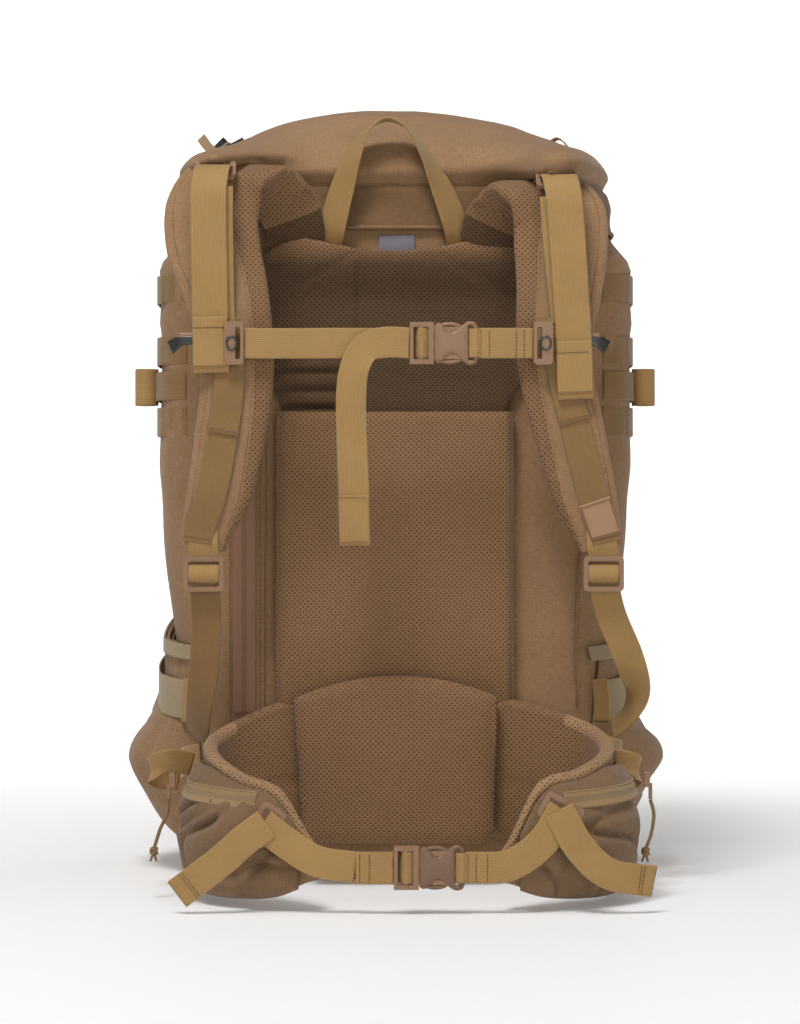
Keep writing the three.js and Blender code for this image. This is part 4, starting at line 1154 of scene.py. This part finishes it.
def make_buckle(which):
    """Side-release buckle: an entering half with two sprung arms, in a waisted receiving half."""
    body, middle, plastic = BUCKLE[which]

    def along(points):
        return [middle + Vector(p) * MM for p in points]

    def shell_section(t):
        high, thick = at(SHELL_HEIGHT, t), at(SHELL_THICK, t) / 2
        corners = [math.pi * 2 * k / 28 for k in range(28)]
        return [(high * math.copysign(abs(math.cos(a)) ** 0.45, math.cos(a)),
                 thick * math.copysign(abs(math.sin(a)) ** 0.6, math.sin(a))) for a in corners]

    def rod(name, points, radius, steps, rides_on):
        curved = [spline_point(points, i / steps) for i in range(steps + 1)]
        place(tube(f"{which}_{name}", curved, radius, LOOK[plastic], 12), rides_on, "tan_plastic")
    middle_line = along(((-8, 0, 0), (5, 0, 0), (20, 0, 0)))
    receiving = sweep(f"{which}_buckle_shell", middle_line, UP, shell_section, [LOOK[plastic]], 40)
    place(receiving, body, "tan_plastic", f"{which}_buckle_female")
    end_bar = along(((17, 0, 14), (21, 0, 16.2), (25, 0, 15.4), (26.2, 0, 12), (26.2, 0, 0), (26.2, 0, -12),
                     (25, 0, -15.4), (21, 0, -16.2), (17, 0, -14)))
    rod("end_bar", end_bar, 2.2 * MM, 40, body)
    wrap = along(((20, 2, 0), (22.5, -2.6, 0), (26.2, -3.6, 0), (30.5, -0.9, 0)))
    place(ribbon(f"{which}_end_wrap", wrap, UP, 24 * MM, 1.5 * MM, steps=30), body, "webbing")
    threaded = along(((-29, 1.0, 0), (-25, 4.6, 0), (-19.5, -4.4, 0), (-13, -0.5, 0), (-9.6, 4.4, 0)))
    entering = f"{which}_male"
    place(ribbon(f"{which}_threaded_webbing", threaded, UP, 25 * MM, 1.5 * MM, steps=40), entering, "webbing")
    for edge, name in ((1, "upper"), (-1, "lower")):
        arm = along([(x, -0.5, edge * z) for x, z in
                     ((-7, 9), (-3, 14), (2, 15.6), (7, 15.6), (12, 14.2), (16, 11))])
        rod(f"{name}_arm", arm, 1.9 * MM, 24, entering)
    dress(f"{which}_buckle_male", "tan_plastic", 0.9 * MM)


def make_sternum_webbing():
    """The strap's two lengths, and the spare end that hangs from the buckle."""
    y, z = STERNUM_PLANE, STERNUM_HEIGHT
    left = vectors(((-125, y, z), (-90, y - 0.6, z - 0.3), (-50, y, z), (-16, y, z)))
    main = ribbon("left_chest_webbing", left, UP, steps=50)
    stretch_between(main, "left_sternum_webbing",
                    (-0.11, y * MM, z * MM), (-0.03, y * MM, z * MM))
    right = vectors(((70, y, z), (92, y - 0.5, z), (115, y, z)))
    place(ribbon("right_chest_webbing", right, UP, steps=30), "sternum", "webbing", "right_sternum_webbing")
    for t in (0.12, 0.34, 0.4):
        sew_across("sternum", left, UP, t, lift=-1.0 * MM)
    for t in (0.2, 0.7, 0.84):
        sew_across("sternum", right, UP, t, lift=1.0 * MM)
    front = y - 2.4
    tail = vectors(((12, front, z), (-8, front - 0.5, z + 0.5), (-24, front - 2, z - 4),
                    (-33, front - 4, z - 20), (-36, front - 3, z - 42), (-35.5, front - 1, 380),
                    (-34, front - 2, 340), (-33, front, 294)))
    turn = [Vector(v) for v in ((0, 0, 1), (0, 0, 1), (-0.5, 0.1, 0.85), (-0.9, 0.25, 0.35), (-1, 0.1, 0.05),
                                (-1, 0, 0), (-1, 0, 0), (-1, 0, 0))]
    widths = [26 * MM, 26 * MM] + [WEBBING] * 6
    place(ribbon("chest_tail", tail, turn, widths, steps=110), "sternum_male", "webbing", "sternum_tail")
    hem = vectors(((-34.3, front - 3.4, 336), (-34, front - 3.2, 320), (-33, front - 1.8, 296)))
    place(ribbon("chest_tail_hem", hem, -SIDEWAYS, 25 * MM, steps=16), "sternum_male", "webbing")
    line = [Vector((-46 + 2.9 * i, front - 5, 334)) * MM for i in range(9)]
    sew("sternum_male", line, (0, -1, 0), 2.6 * MM)


def make_sternum_clip(side):
    """Moulded clip with its spring wire, its hook behind the strap rail and its webbing loop."""
    y, z = STERNUM_PLANE, STERNUM_HEIGHT
    x, toward = {"left": (-133.5, 1), "right": (123.5, -1)}[side]
    wire = []
    for i in range(24):
        angle = math.radians(i * 15)
        point = Vector((x + toward * (4.2 * math.cos(angle) - 2), y - 3.6, z + 5.5 * math.sin(angle)))
        wire.append(point * MM)
    ring = tube(f"{side}_clip_wire", wire, 0.9 * MM, LOOK["ring_metal"], closed=True)
    place(ring, "sternum", "frame_aluminium")

    def inwards(*rows):
        return vectors([(x - toward * across, y + back, z + up) for across, back, up in rows])
    hook = ribbon(f"{side}_rail_hook", inwards((34, 9, 3), (46, 10, 2), (54, 13, -3)), Vector((0, 0.15, 1)),
                  millimetres(7, 9, 13), 2.0 * MM, "ring_metal", 24)
    place(hook, "sternum", "frame_aluminium")
    bracket = ribbon(f"{side}_hook_bracket", inwards((30, 10, 7), (48, 11, 7)), UP, 5 * MM, 3.0 * MM,
                     "tan_plastic", 8)
    place(bracket, "sternum", "tan_plastic")
    loop = ribbon(f"{side}_clip_loop", inwards((24, 10, 0), (9, 8, 0), (4, 1, 0)), UP, 13 * MM, 1.6 * MM,
                  steps=10)
    place(loop, "sternum", "webbing")


def make_sternum_strap():
    """Everything that crosses the wearer's chest."""
    make_sternum_webbing()
    for side in ("left", "right"):
        dress(f"{side}_sternum_clip", "tan_plastic", 1.2 * MM)
    for side in ("left", "right"):
        make_sternum_clip(side)
    make_buckle("sternum")


# ---------------------------------------------------------------------------
# Hip belt
# ---------------------------------------------------------------------------

WING = {
    "left": {
        "sign": -1,
        "plan": vectors(((-60, -148, 0), (-96, -149, 0), (-130, -159, 0), (-150, -184, 0), (-155, -220, 0),
                         (-146, -258, 0), (-122, -290, 0), (-92, -312, 0), (-62, -326, 0))),
        "low": millimetres(46, 38, 28, 18, 12, 9, 10, 14, 26),
        "high": millimetres(150, 158, 146, 136, 130, 120, 108, 97, 54),
    },
    "right": {
        "sign": 1,
        "plan": vectors(((60, -148, 0), (96, -149, 0), (135, -158, 0), (165, -181, 0), (178, -218, 0),
                         (171, -258, 0), (148, -290, 0), (116, -312, 0), (86, -326, 0))),
        "low": millimetres(46, 38, 28, 18, 12, 9, 10, 14, 24),
        "high": millimetres(150, 160, 152, 142, 132, 122, 112, 102, 50),
    },
}
POCKET_START, POCKET_END = 0.44, 0.95
POCKET_BULGE = millimetres(2, 12, 20, 24, 25, 24, 21, 16, 3)


def wing_frame(side, t):
    """Point on a wing's middle line, its outward direction, and its lower and upper edges at t."""
    wing = WING[side]
    step = 0.004
    plan = wing["plan"]
    heading = (spline_point(plan, min(t + step, 1)) - spline_point(plan, max(t - step, 0))).normalized()
    outward = Vector((heading.y, -heading.x, 0)) * -wing["sign"]
    low, high = smooth_row(list(zip(wing["low"], wing["high"])), t)
    return spline_point(plan, t), outward, low, high


def wing_sheet(name, side, start, end, steps, section, looks, paint=None):
    """A closed body along a wing, painted by paint(part, outline point).
    section(part, point, low, high) gives the (offset outwards, height) pairs round it."""
    mesh = bmesh.new()
    rings = []
    for i in range(steps + 1):
        part = i / steps
        t = start + (end - start) * part
        point, outward, low, high = wing_frame(side, t)
        rings.append([mesh.verts.new(point + outward * off + Vector((0, 0, z)))
                      for off, z in section(part, point, low, high)])
    count = len(rings[0])
    for i, (near, far) in enumerate(zip(rings, rings[1:])):
        for k in range(count):
            face = mesh.faces.new((near[k], near[(k + 1) % count], far[(k + 1) % count], far[k]))
            if paint:
                face.material_index = paint((i + 0.5) / steps, k)
    mesh.faces.new(rings[0][::-1])
    mesh.faces.new(rings[-1])
    return finish_mesh(name, mesh, *[LOOK[each] for each in looks])


WING_COLUMNS, RIM_COLUMNS = 20, 4


def make_belt_wing(side):
    """Foam wing: perforated lining, a perforated rim painted brighter where light falls on it, plain cloth
    outside, and a quilted line inside.
    """
    def section(part, point, low, high):
        taper = 1 if part < 0.8 else 1 - (part - 0.8) * 2
        taper *= min((1 - part) * 60 + 0.25, 1)
        half = BELT_THICK / 2 * taper
        rim = 9 * MM
        inside, outside = [], []
        for k in range(WING_COLUMNS + 1):
            z = low + (high - rim - low) * k / WING_COLUMNS
            edge = max(1 - abs(2 * (z - low) / (high - low) - 1) ** 7, 0) ** 0.5
            here = Vector((point.x, point.y, z))
            quilt = 1.6 * MM * groove(z - (low + (high - low) * 0.42), 0.004) * (1 if part < 0.45 else 0)
            inside.append((-half * edge + quilt + 0.6 * MM * fold(here, 0.04), z))
            outside.append((half * edge * 0.94 + 0.9 * MM * fold(here, 0.03) - 0.8 * MM * edge, z))
        arch = []
        for k in range(1, 2 * RIM_COLUMNS):
            angle = math.pi * (1 - k / (2 * RIM_COLUMNS))
            arch.append((half * math.cos(angle) * 0.96, high - rim + rim * math.sin(angle)))
        return inside + arch + outside[::-1]

    def paint(part, k):
        if k > WING_COLUMNS + 2 * RIM_COLUMNS:
            return 1
        # painted highlight: the rim takes the brighter copy of the mesh
        return 2 if k >= WING_COLUMNS and part > 0.3 else 0
    looks = ("air_mesh", "pack_fabric", "lit_rim_mesh")
    wing = wing_sheet(f"{side}_wing_foam", side, 0, 1, 150, section, looks, paint)
    place(wing, "bag", "air_mesh", f"{side}_belt_wing")
    for drop in (9.5, 12.5):
        line, ups = [], []
        for i in range(141):
            t = 0.3 + 0.69 * i / 140
            point, outward, low, high = wing_frame(side, t)
            off = BELT_THICK / 2 * (1 if t < 0.8 else 1 - (t - 0.8) * 2) - 0.6 * MM
            line.append(point + outward * off + Vector((0, 0, high - drop * MM)))
            ups.append(outward)
        sew("bag", line, lambda i, ups=ups: ups[i], 3.0 * MM)


def pocket_reach(part, share, here):
    """How far a belt pocket's cloth stands off the wing: slack folds fan out below its zip."""
    bulge = at(POCKET_BULGE, part)
    dome = math.sin(math.pi * min(max(share, 0), 1)) ** 0.4
    below_zip = 1 - smooth_step(share, 0.66, 0.84)
    pleat = math.sin(part * 8 - share * 4.5 + 6.0 * noise.noise(here * 14))
    depth = 0.5 + 0.9 * abs(noise.noise(here * 22 + Vector((3, 1, 5))) * 2)
    pleats = -9.0 * depth * (1 - abs(pleat)) ** 3 + 2.0 * abs(pleat)
    slack = 2.4 * fold(here, 0.030, (1, 1, 1.3)) - 6.0 * crease(here, 0.060, (1.3, 1.3, 1.0))
    folds = (pleats + slack) * (0.15 + 0.85 * below_zip)
    tuck = -12.0 * groove(share - 0.60, 0.07) * smooth_step(part, 0.72, 0.82)
    fullness = min(part * 8, (1 - part) * 8, 1)
    return 0.6 * MM + max(bulge + (folds + tuck) * MM * fullness, 1.5 * MM * fullness) * dome


def make_belt_pocket(side):
    """Slack pocket on the outside of a wing, with a zip across its upper part."""
    rows = 34

    def limits(part, low, high):
        return low - 3 * MM, min(high - 7 * MM, 0.112)

    def section(part, point, low, high):
        z0, z1 = limits(part, low, high)
        skin = BELT_THICK / 2 + 0.6 * MM
        outside = []
        for k in range(rows + 1):
            z = z0 + (z1 - z0) * k / rows
            outside.append((skin + pocket_reach(part, k / rows, Vector((point.x, point.y, z))), z))
        inside = [(skin, z1 - (z1 - z0) * k / 6) for k in range(7)]
        return outside + inside
    pocket = wing_sheet(f"{side}_pocket_cloth", side, POCKET_START, POCKET_END, 110, section,
                        ("pocket_fabric",))
    place(pocket, "bag", "pack_fabric", f"{side}_belt_pocket")
    route, lines = [], []
    for i in range(31):
        part = 0.06 + 0.72 * i / 30
        t = POCKET_START + (POCKET_END - POCKET_START) * part
        point, outward, low, high = wing_frame(side, t)
        z0, z1 = limits(part, low, high)
        z = 0.0965 - 0.009 * part
        share = (z - z0) / (z1 - z0)
        off = BELT_THICK / 2 + pocket_reach(part, share, Vector((point.x, point.y, z))) + 0.7 * MM
        route.append(point + outward * off + Vector((0, 0, z)))
        lines.append(outward)
    across = [Vector((o.x * -0.35, o.y * -0.35, 1)) for o in lines]
    place(ribbon(f"{side}_pocket_zip", route, across, 15 * MM, 1.4 * MM, "pocket_zip", 90), "bag", "zip_tape")
    for shift in (-6.2, 6.2):
        line = [p + Vector((0, 0, shift * MM)) + o * 0.9 * MM for p, o in zip(route, lines)]
        sew("bag", line, lambda i, ups=lines: ups[i], 2.8 * MM)
    dress(f"{side}_pocket_slider", "tan_plastic", 0.5 * MM)


def make_stabilizer(side):
    """Webbing that pulls a wing towards the bag, and the loop that its spare end makes."""
    route = vectors({"left": ((-166, -186, 112), (-180, -168, 108), (-186, -142, 103)),
                     "right": ((182, -184, 118), (194, -166, 113), (194, -140, 106))}[side])
    place(ribbon(f"{side}_stabilizer_webbing", route, UP, steps=30), "bag", "webbing",
          f"{side}_stabilizer_strap")
    loop = vectors([(side_sign(side) * x, y, z) for x, y, z in (
        (172, -196, 108), (190, -206, 112), (202, -205, 108), (206, -198, 102), (200, -190, 96),
        (184, -184, 94))])
    place(ribbon(f"{side}_belt_loop", loop, Vector((0, -0.25, 1)), 20 * MM, steps=50), "bag", "webbing")


def make_waist_strap():
    """The webbing that closes the belt: main lengths, spare ends, sewn end, adjusters and buckle."""
    y = WAIST_PLANE
    plans = {
        "left": (((-106, y, 73), (-84, y, 56), (-62, y, 43), (-31, y, 38)),
                 ((0.6, 0, 0.8), (0.5, 0, 0.85), (0.25, 0, 0.97), (0, 0, 1)),
                 ((-102, y - 1, 73), (-120, y - 3, 60), (-138, y - 3, 44), (-174, y + 4, 16)),
                 ((-0.6, 0, 0.8), (-0.62, 0, 0.8), (-0.55, 0, 0.85), (-0.45, 0, 0.9))),
        "right": (((135, y, 84), (118, y, 58), (92, y, 40), (57.2, y, 38)),
                  ((-0.85, 0, 0.55), (-0.7, 0, 0.7), (-0.2, 0, 0.95), (0, 0, 1)),
                  ((131, y - 1, 84), (148, y - 3, 54), (170, y - 3, 34), (208, y + 7, 26)),
                  ((0.8, 0, 0.5), (0.75, 0, 0.6), (0.4, 0, 0.9), (0.15, 0, 0.95))),
    }
    for side, (main, main_turn, tail, tail_turn) in plans.items():
        main_turn = [Vector(v) for v in main_turn]
        tail_turn = [Vector(v) for v in tail_turn]
        strap = ribbon(f"{side}_waist_strap", vectors(main), main_turn, steps=60)
        if side == "left":
            stretch_between(strap, "left_waist_webbing",
                            Vector(main[0]) * MM, Vector((-40, y, WAIST_HEIGHT)) * MM)
        else:
            place(strap, "bag", "webbing", "right_waist_webbing")
        place(ribbon(f"{side}_waist_tail", vectors(tail), tail_turn, steps=60), "bag", "webbing")
        lift = -1.0 * MM if side == "left" else 1.0 * MM
        sew_across("bag", vectors(tail), tail_turn, 0.9, lift=lift, rows=2)
        dress(f"{side}_belt_adjuster", "tan_plastic", 1.2 * MM)
    sewn = vectors(((-31, y - 2.4, 38), (-20, y - 2.6, 38), (-1, y - 2.4, 38)))
    place(ribbon("waist_sewn_box", sewn, UP, 26 * MM, steps=20), "waist_male", "webbing",
          "waist_sewn_end")
    for t in (0.15, 0.5):
        sew_across("waist_male", sewn, UP, t, lift=1.0 * MM)
    right = vectors(((57.2, y, 38), (80, y, 38)))
    for t in (0.35, 0.75):
        sew_across("bag", right, UP, t, lift=1.0 * MM)
    # short anchors hold each adjuster to its wing
    for side, x, z, lean in (("left", -104, 72, 0.98), ("right", 133, 82, -0.5)):
        wing_face = {"left": -322, "right": -318}[side]
        route = vectors(((x, wing_face, z - 14 * math.cos(lean)), (x, -334, z - 6), (x, -342.5, z)))
        place(ribbon(f"{side}_adjuster_anchor", route, SIDEWAYS, 24 * MM, steps=16), "bag", "webbing")
    make_buckle("waist")


CORD_PATH = {
    "left": vectors(((-187.7, -252, 83.4), (-189, -252, 72), (-195, -251, 58), (-200, -250, 42))),
    "right": vectors(((212.2, -252, 83.4), (215, -252, 72), (213, -253, 56), (208, -254, 42))),
}


def make_pull_cord(side):
    """The zip's pull: a cord that hangs from the slider, its knot, and two short tips below it."""
    route = CORD_PATH[side]
    path = [spline_point(route, i / 30) for i in range(31)]
    length = sum((b - a).length for a, b in zip(path, path[1:]))
    cord = tube(f"{side}_cord", path, CORD_RADIUS, LOOK["cord"])
    turns = []
    for i in range(49):
        angle = i / 48 * math.pi * 4
        turns.append(path[-1] + Vector((2.3 * MM * math.cos(angle), 2.1 * MM * math.sin(angle),
                                        -1.5 * MM - 2.0 * MM * math.cos(angle * 1.5))))
    knot = place(tube(f"{side}_knot", turns, CORD_RADIUS, LOOK["cord"]), f"{side}_slider", "cord")
    end = path[-1] + Vector((0, 0, -3 * MM))
    for which, lean in (("near", -3), ("far", 2)):
        tip = [end, end + Vector((lean * 0.5, 0, -3)) * MM, end + Vector((lean, 0, -7)) * MM]
        place(tube(f"{side}_cord_tip_{which}", tip, 1.0 * MM, LOOK["cord"]), f"{side}_slider", "cord")
    place(cord, f"{side}_slider", "cord", f"{side}_pull_cord")
    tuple(path[0])


# ---------------------------------------------------------------------------
# Pieces on the bag's sides and front
# ---------------------------------------------------------------------------

# height, how far the side pocket stands out
SIDE_FULLNESS = [millimetres(*row) for row in (
    (18, 8), (32, 24), (44, 34), (76, 48), (100, 52), (116, 46), (134, 32), (160, 14), (190, 8), (205, 6))]


def make_side_pocket(side):
    """Open pocket: full at its foot, gathered under an elastic rim."""
    sign, hem, count, rim_slope = side_sign(side), 10 * MM, 44, 0.12
    length = POCKET_FRONT - POCKET_REAR

    def place_at(y, z, off):
        """A point off the bag; the upper part of the pocket rises towards the front."""
        rising = min(max(z - 0.13, 0) / 0.02, 1)
        height = z + (y - POCKET_REAR) * rim_slope * rising
        return Vector((sign * (bag_side(y, height) + off), y, height))

    def reach(y, bulge):
        return bulge * max(math.sin(math.pi * (y - POCKET_REAR) / length), 0) ** 0.6 + 2.6 * MM

    def gathers(y, z):
        window = groove(z - 0.183, 0.016)
        pleat = math.sin(y * 560 + 2.2 * noise.noise(Vector((y * 30, z * 18, sign)))) - 0.4
        return 3.2 * MM * pleat * window

    def slack(p):
        low = min(max((0.17 - p.z) / 0.05, 0), 1)
        return (4.0 * fold(p, 0.045) - 6.5 * crease(p, 0.075, (1, 1.3, 0.9))) * MM * low

    def ring(z, bulge, inside):
        y0, y1 = POCKET_REAR + hem * inside, POCKET_FRONT - hem * inside
        stations = [y0 + (y1 - y0) * (1 - math.cos(math.pi * i / count)) / 2 for i in range(count + 1)]
        face, back = [], []
        for y in stations:
            off = reach(y, bulge) - POCKET_WALL * inside
            if not inside:
                middle = math.sin(math.pi * (y - y0) / (y1 - y0))
                off += (gathers(y, z) + slack(place_at(y, z, off))) * min(middle * 2, 1)
            face.append(place_at(y, z, max(off, (3.2 if inside else 2.2) * MM)))
            back.append(place_at(y, z, (2.4 if inside else 1.6) * MM))
        return face + back[::-1]
    steps = 54
    rows = [smooth_row(SIDE_FULLNESS, i / steps) for i in range(steps + 1)]
    outer = [ring(z, bulge, 0) for z, bulge in rows]
    inner = [ring(max(z, SIDE_FULLNESS[0][0] + POCKET_WALL), bulge, 1) for z, bulge in rows[::3]]
    pocket = place(shell(f"{side}_pocket_wall", outer, inner, LOOK["pack_fabric"]), "bag", "pack_fabric",
                   f"{side}_side_pocket")
    # elastic: height, bulge and gap, how far past the pocket's ends, its lean, width and thickness
    for name, z, bulge, gap, before, after, lean, width, thick in (
            ("elastic", 0.199, 7, 1.4, 10, 0, 0.12, 13, 2.4), ("band", 0.157, 15, 3.0, -4, -4, 0.1, 34, 1.4)):
        start, span = POCKET_REAR - before * MM, length + (before + after) * MM
        line = [place_at(y, z, reach(y, bulge * MM) + gap * MM) for y in
                [start + span * i / 40 for i in range(41)]]
        strip = ribbon(f"{side}_pocket_{name}", line, Vector((0, lean, 1)), width * MM, thick * MM,
                       "elastic", 90)
        place(strip, "bag", "webbing")
    block = vectors([(sign * x, y, z) for x, y, z in ((179, -116, 176), (181, -117, 158), (181, -117, 138))])
    anchor = ribbon(f"{side}_band_anchor", block, Vector((0.7, -0.7, 0)), 18 * MM, 1.6 * MM, steps=16)
    place(anchor, "bag", "webbing")


def make_webbing_row(side, row, low):
    """Attachment webbing, tacked to the bag so that it bows a little between its tacks."""
    sign, middle = side_sign(side), (low + 12.7) * MM
    route = []
    for i in range(90):
        y = (ROW_START + 2 * i) * MM
        bow = 0.7 * MM * abs(math.sin(math.pi * (y + 0.1) / TACK_PITCH))
        route.append(Vector((sign * (swollen_side(y, middle) + bow), y, middle)))
    strip = ribbon(f"{side}_row_{row}", route, UP, material="shade_webbing", steps=160)
    place(strip, "bag", "webbing", f"{side}_webbing_row_{row}")
    for k in range(5):
        y = -0.096 + TACK_PITCH * k
        x = swollen_side(y, middle) + 1.1 * MM
        line = [Vector((sign * x, y, middle + (i - 4) * 2.8 * MM)) for i in range(9)]
        sew("bag", line, (sign, -0.5, 0), 2.4 * MM)


def make_compression_strap(side):
    """Webbing between two of the rows, with its spare end rolled up near the rear corner."""
    sign, middle = side_sign(side), COMPRESSION_HEIGHT * MM
    depths = [(ROW_START + 188 * i / 64) * MM for i in range(65)]
    route = [Vector((sign * (swollen_side(y, middle) + 1.6 * MM), y, middle)) for y in depths]
    strap = ribbon(f"{side}_compression_webbing", route, UP, material="shade_webbing", steps=120)
    place(strap, "bag", "webbing", f"{side}_compression_strap")
    centre = Vector((sign * (bag_side(-0.062, middle) + 19.5 * MM), -0.062, middle))
    spiral = []
    for i in range(90):
        angle = i / 89 * math.pi * 2 * 2.6
        radius = (10.2 - 6.4 * i / 89) * MM
        spiral.append(centre + Vector((sign * -radius * math.cos(angle), -radius * math.sin(angle), 0)))
    place(ribbon(f"{side}_rolled_end", spiral, UP, 33 * MM, 1.7 * MM, steps=180), "bag", "webbing")


def make_side_webbing(side):
    """Three rows of attachment webbing and the compression strap."""
    for row, low in enumerate(ROW_EDGES):
        make_webbing_row(side, row + 1, low)
    make_compression_strap(side)


def make_front_pocket():
    """Flat open pocket on the bag's front face, with a bound rim."""
    fullness = [millimetres(*row) for row in (
        (48, 104, 10), (72, 118, 24), (100, 122, 30), (200, 124, 31), (300, 122, 28), (392, 118, 18))]
    columns = 40

    def ring(z, half, out, inset):
        front = profile_at(BAG_PROFILE, z)[2]
        back = front + 1 * MM + inset * 0.4
        w = half - inset
        face = []
        for k in range(columns + 1):
            x = w - 2 * w * k / columns
            full = max(1 - (abs(x) / w) ** 6, 0) ** 0.5
            here = Vector((x, front, z))
            slack = 0 if inset else 1.6 * fold(here, 0.06) - 2.0 * crease(here, 0.1, (1, 1, 1.6))
            face.append(Vector((x, back + 2 * MM + (out - inset + slack * MM) * full * 0.96, z)))
        return [Vector((w, back, z))] + face + [Vector((-w, back, z))]
    rows = [smooth_row(fullness, i / 60) for i in range(61)]
    outer = [ring(z, half, out, 0) for z, half, out in rows]
    floor = fullness[0][0] + POCKET_WALL
    inner = [ring(max(z, floor), half, out, POCKET_WALL) for z, half, out in rows[::4]]
    pocket = place(shell("front_pocket_cloth", outer, inner, LOOK["pack_fabric"]), "bag", "pack_fabric",
                   "front_pocket")
    binding = [p + Vector((0, 0, 0.5 * MM)) for p in outer[-1][1:-1]]
    place(tube("front_pocket_binding", binding, 2.2 * MM, LOOK["binding"]), "bag", "webbing")


def make_side_zip():
    """Zip tape set into the bag's rear left edge, beside its cloth flap."""
    route = [on_rear(-0.131, 0.147 + 0.229 * i / 40, 1.1 * MM) for i in range(41)]
    tilt = on_rear(-0.121, 0.26) - on_rear(-0.141, 0.26)
    place(ribbon("side_zip", route, tilt.normalized(), 20 * MM, 1.2 * MM, "zip_tape", 120), "bag", "zip_tape",
          "side_zip_tape")
    dress("side_zip_slider", "tan_plastic", 0.5 * MM)


def make_labels():
    """Blank size label on the bag, and the blank rubber patch on the right strap."""
    corners = vectors(((1.5, -136.4, 541.2), (1.5, -136.9, 552), (1.5, -136.6, 562.8)))
    tag = ribbon("size_tag", corners, SIDEWAYS, 31 * MM, 0.8 * MM, "label", 16)
    place(tag, "bag", "label", "size_label")
    route = [Vector((p.x + RAIL_SHIFT["right"], p.y, p.z)) for p in STRAP_ROUTE["right"]]
    patch = ribbon("rubber_patch", route, SIDEWAYS, 27 * MM, 1.6 * MM, "patch", 20, 8.7 * MM, 0.862, 0.945)
    place(patch, "yoke", "tan_plastic")
    rim = []
    for t, edge in ((0.866, -1), (0.866, 1), (0.941, 1), (0.941, -1)):
        point, _, wide, face = strap_frame(route, SIDEWAYS, t)
        rim.append(point + wide * edge * 12.4 * MM + face * 9.5 * MM)
    place(tube("patch_border", rim, 0.7 * MM, LOOK["patch_rim"], closed=True), "yoke", "tan_plastic")


def make_haul_loop():
    """Webbing arch sewn into the bag's upper rear edge; it turns its face as it rises."""
    route = vectors(((-61, -137.2, 547), (-55, -146, 567), (-46, -152, 600), (-35, -156, 632),
                     (-23, -157, 652),
                     (-6, -157, 660.5), (12, -157, 652), (26, -156, 632), (41, -152, 600), (54, -146, 567),
                     (60, -137.2, 547)))
    across = [Vector(v) for v in ((1, -0.05, 0), (0.93, -0.37, 0), (0.85, -0.55, 0), (0.6, -0.8, 0),
                                  (0.25, -1, 0), (0, -1, 0), (-0.2, -1, 0), (-0.45, -0.9, 0),
                                  (-0.75, -0.65, 0), (-0.9, -0.45, 0), (-1, -0.05, 0))]
    place(ribbon("haul_webbing", route, across, steps=120), "haul", "webbing", "haul_loop")


def make_frame_parts():
    """Frame sheet and rod inside the bag."""
    dress("frame_sheet", "frame_board", 0)
    dress("frame_hoop", "frame_aluminium", 0)


# ---------------------------------------------------------------------------
# Assembly
# ---------------------------------------------------------------------------

def build():
    """The whole pack, then the floor and the lights."""
    place_camera()
    for side in ("left", "right"):
        make_pull_cord(side)
    make_bag()
    make_lid()
    make_lid_fittings()
    make_back_padding()
    for side in ("left", "right"):
        make_shoulder_strap(side)
        make_strap_rail(side)
        make_load_lifter(side)
        make_lower_strap(side)
        make_belt_wing(side)
        make_belt_pocket(side)
        make_stabilizer(side)
        make_side_pocket(side)
        make_side_webbing(side)
    make_sternum_strap()
    make_waist_strap()
    make_front_pocket()
    make_side_zip()
    make_labels()
    make_haul_loop()
    make_frame_parts()
    make_body_seams()
    make_sewing()
    place_floor()
    place_light("key", (-0.6, -1.8, 3.0), 0.9, 72)
    place_light("front_fill", (0.7, -3.2, 0.8), 0.9, 14)
    place_light("left_wash", (-1.9, 1.5, 1.9), 1.4, 60, (-0.7, 4.0, 0.9))
    place_light("right_wash", (1.9, 1.5, 1.9), 1.4, 60, (0.7, 4.0, 0.9))
    place_light("floor_wash", (0.0, -0.9, 3.2), 1.6, 14, (0, -0.8, 0))


def light_room():
    """An even white surround."""
    world = bpy.data.worlds.new("studio")
    world.use_nodes = True
    world.node_tree.nodes["Background"].inputs["Color"].default_value = (1, 1, 1, 1)
    world.node_tree.nodes["Background"].inputs["Strength"].default_value = 0.03
    SCENE.world = world
    SCENE.view_settings.view_transform = "Standard"


build()
light_room()
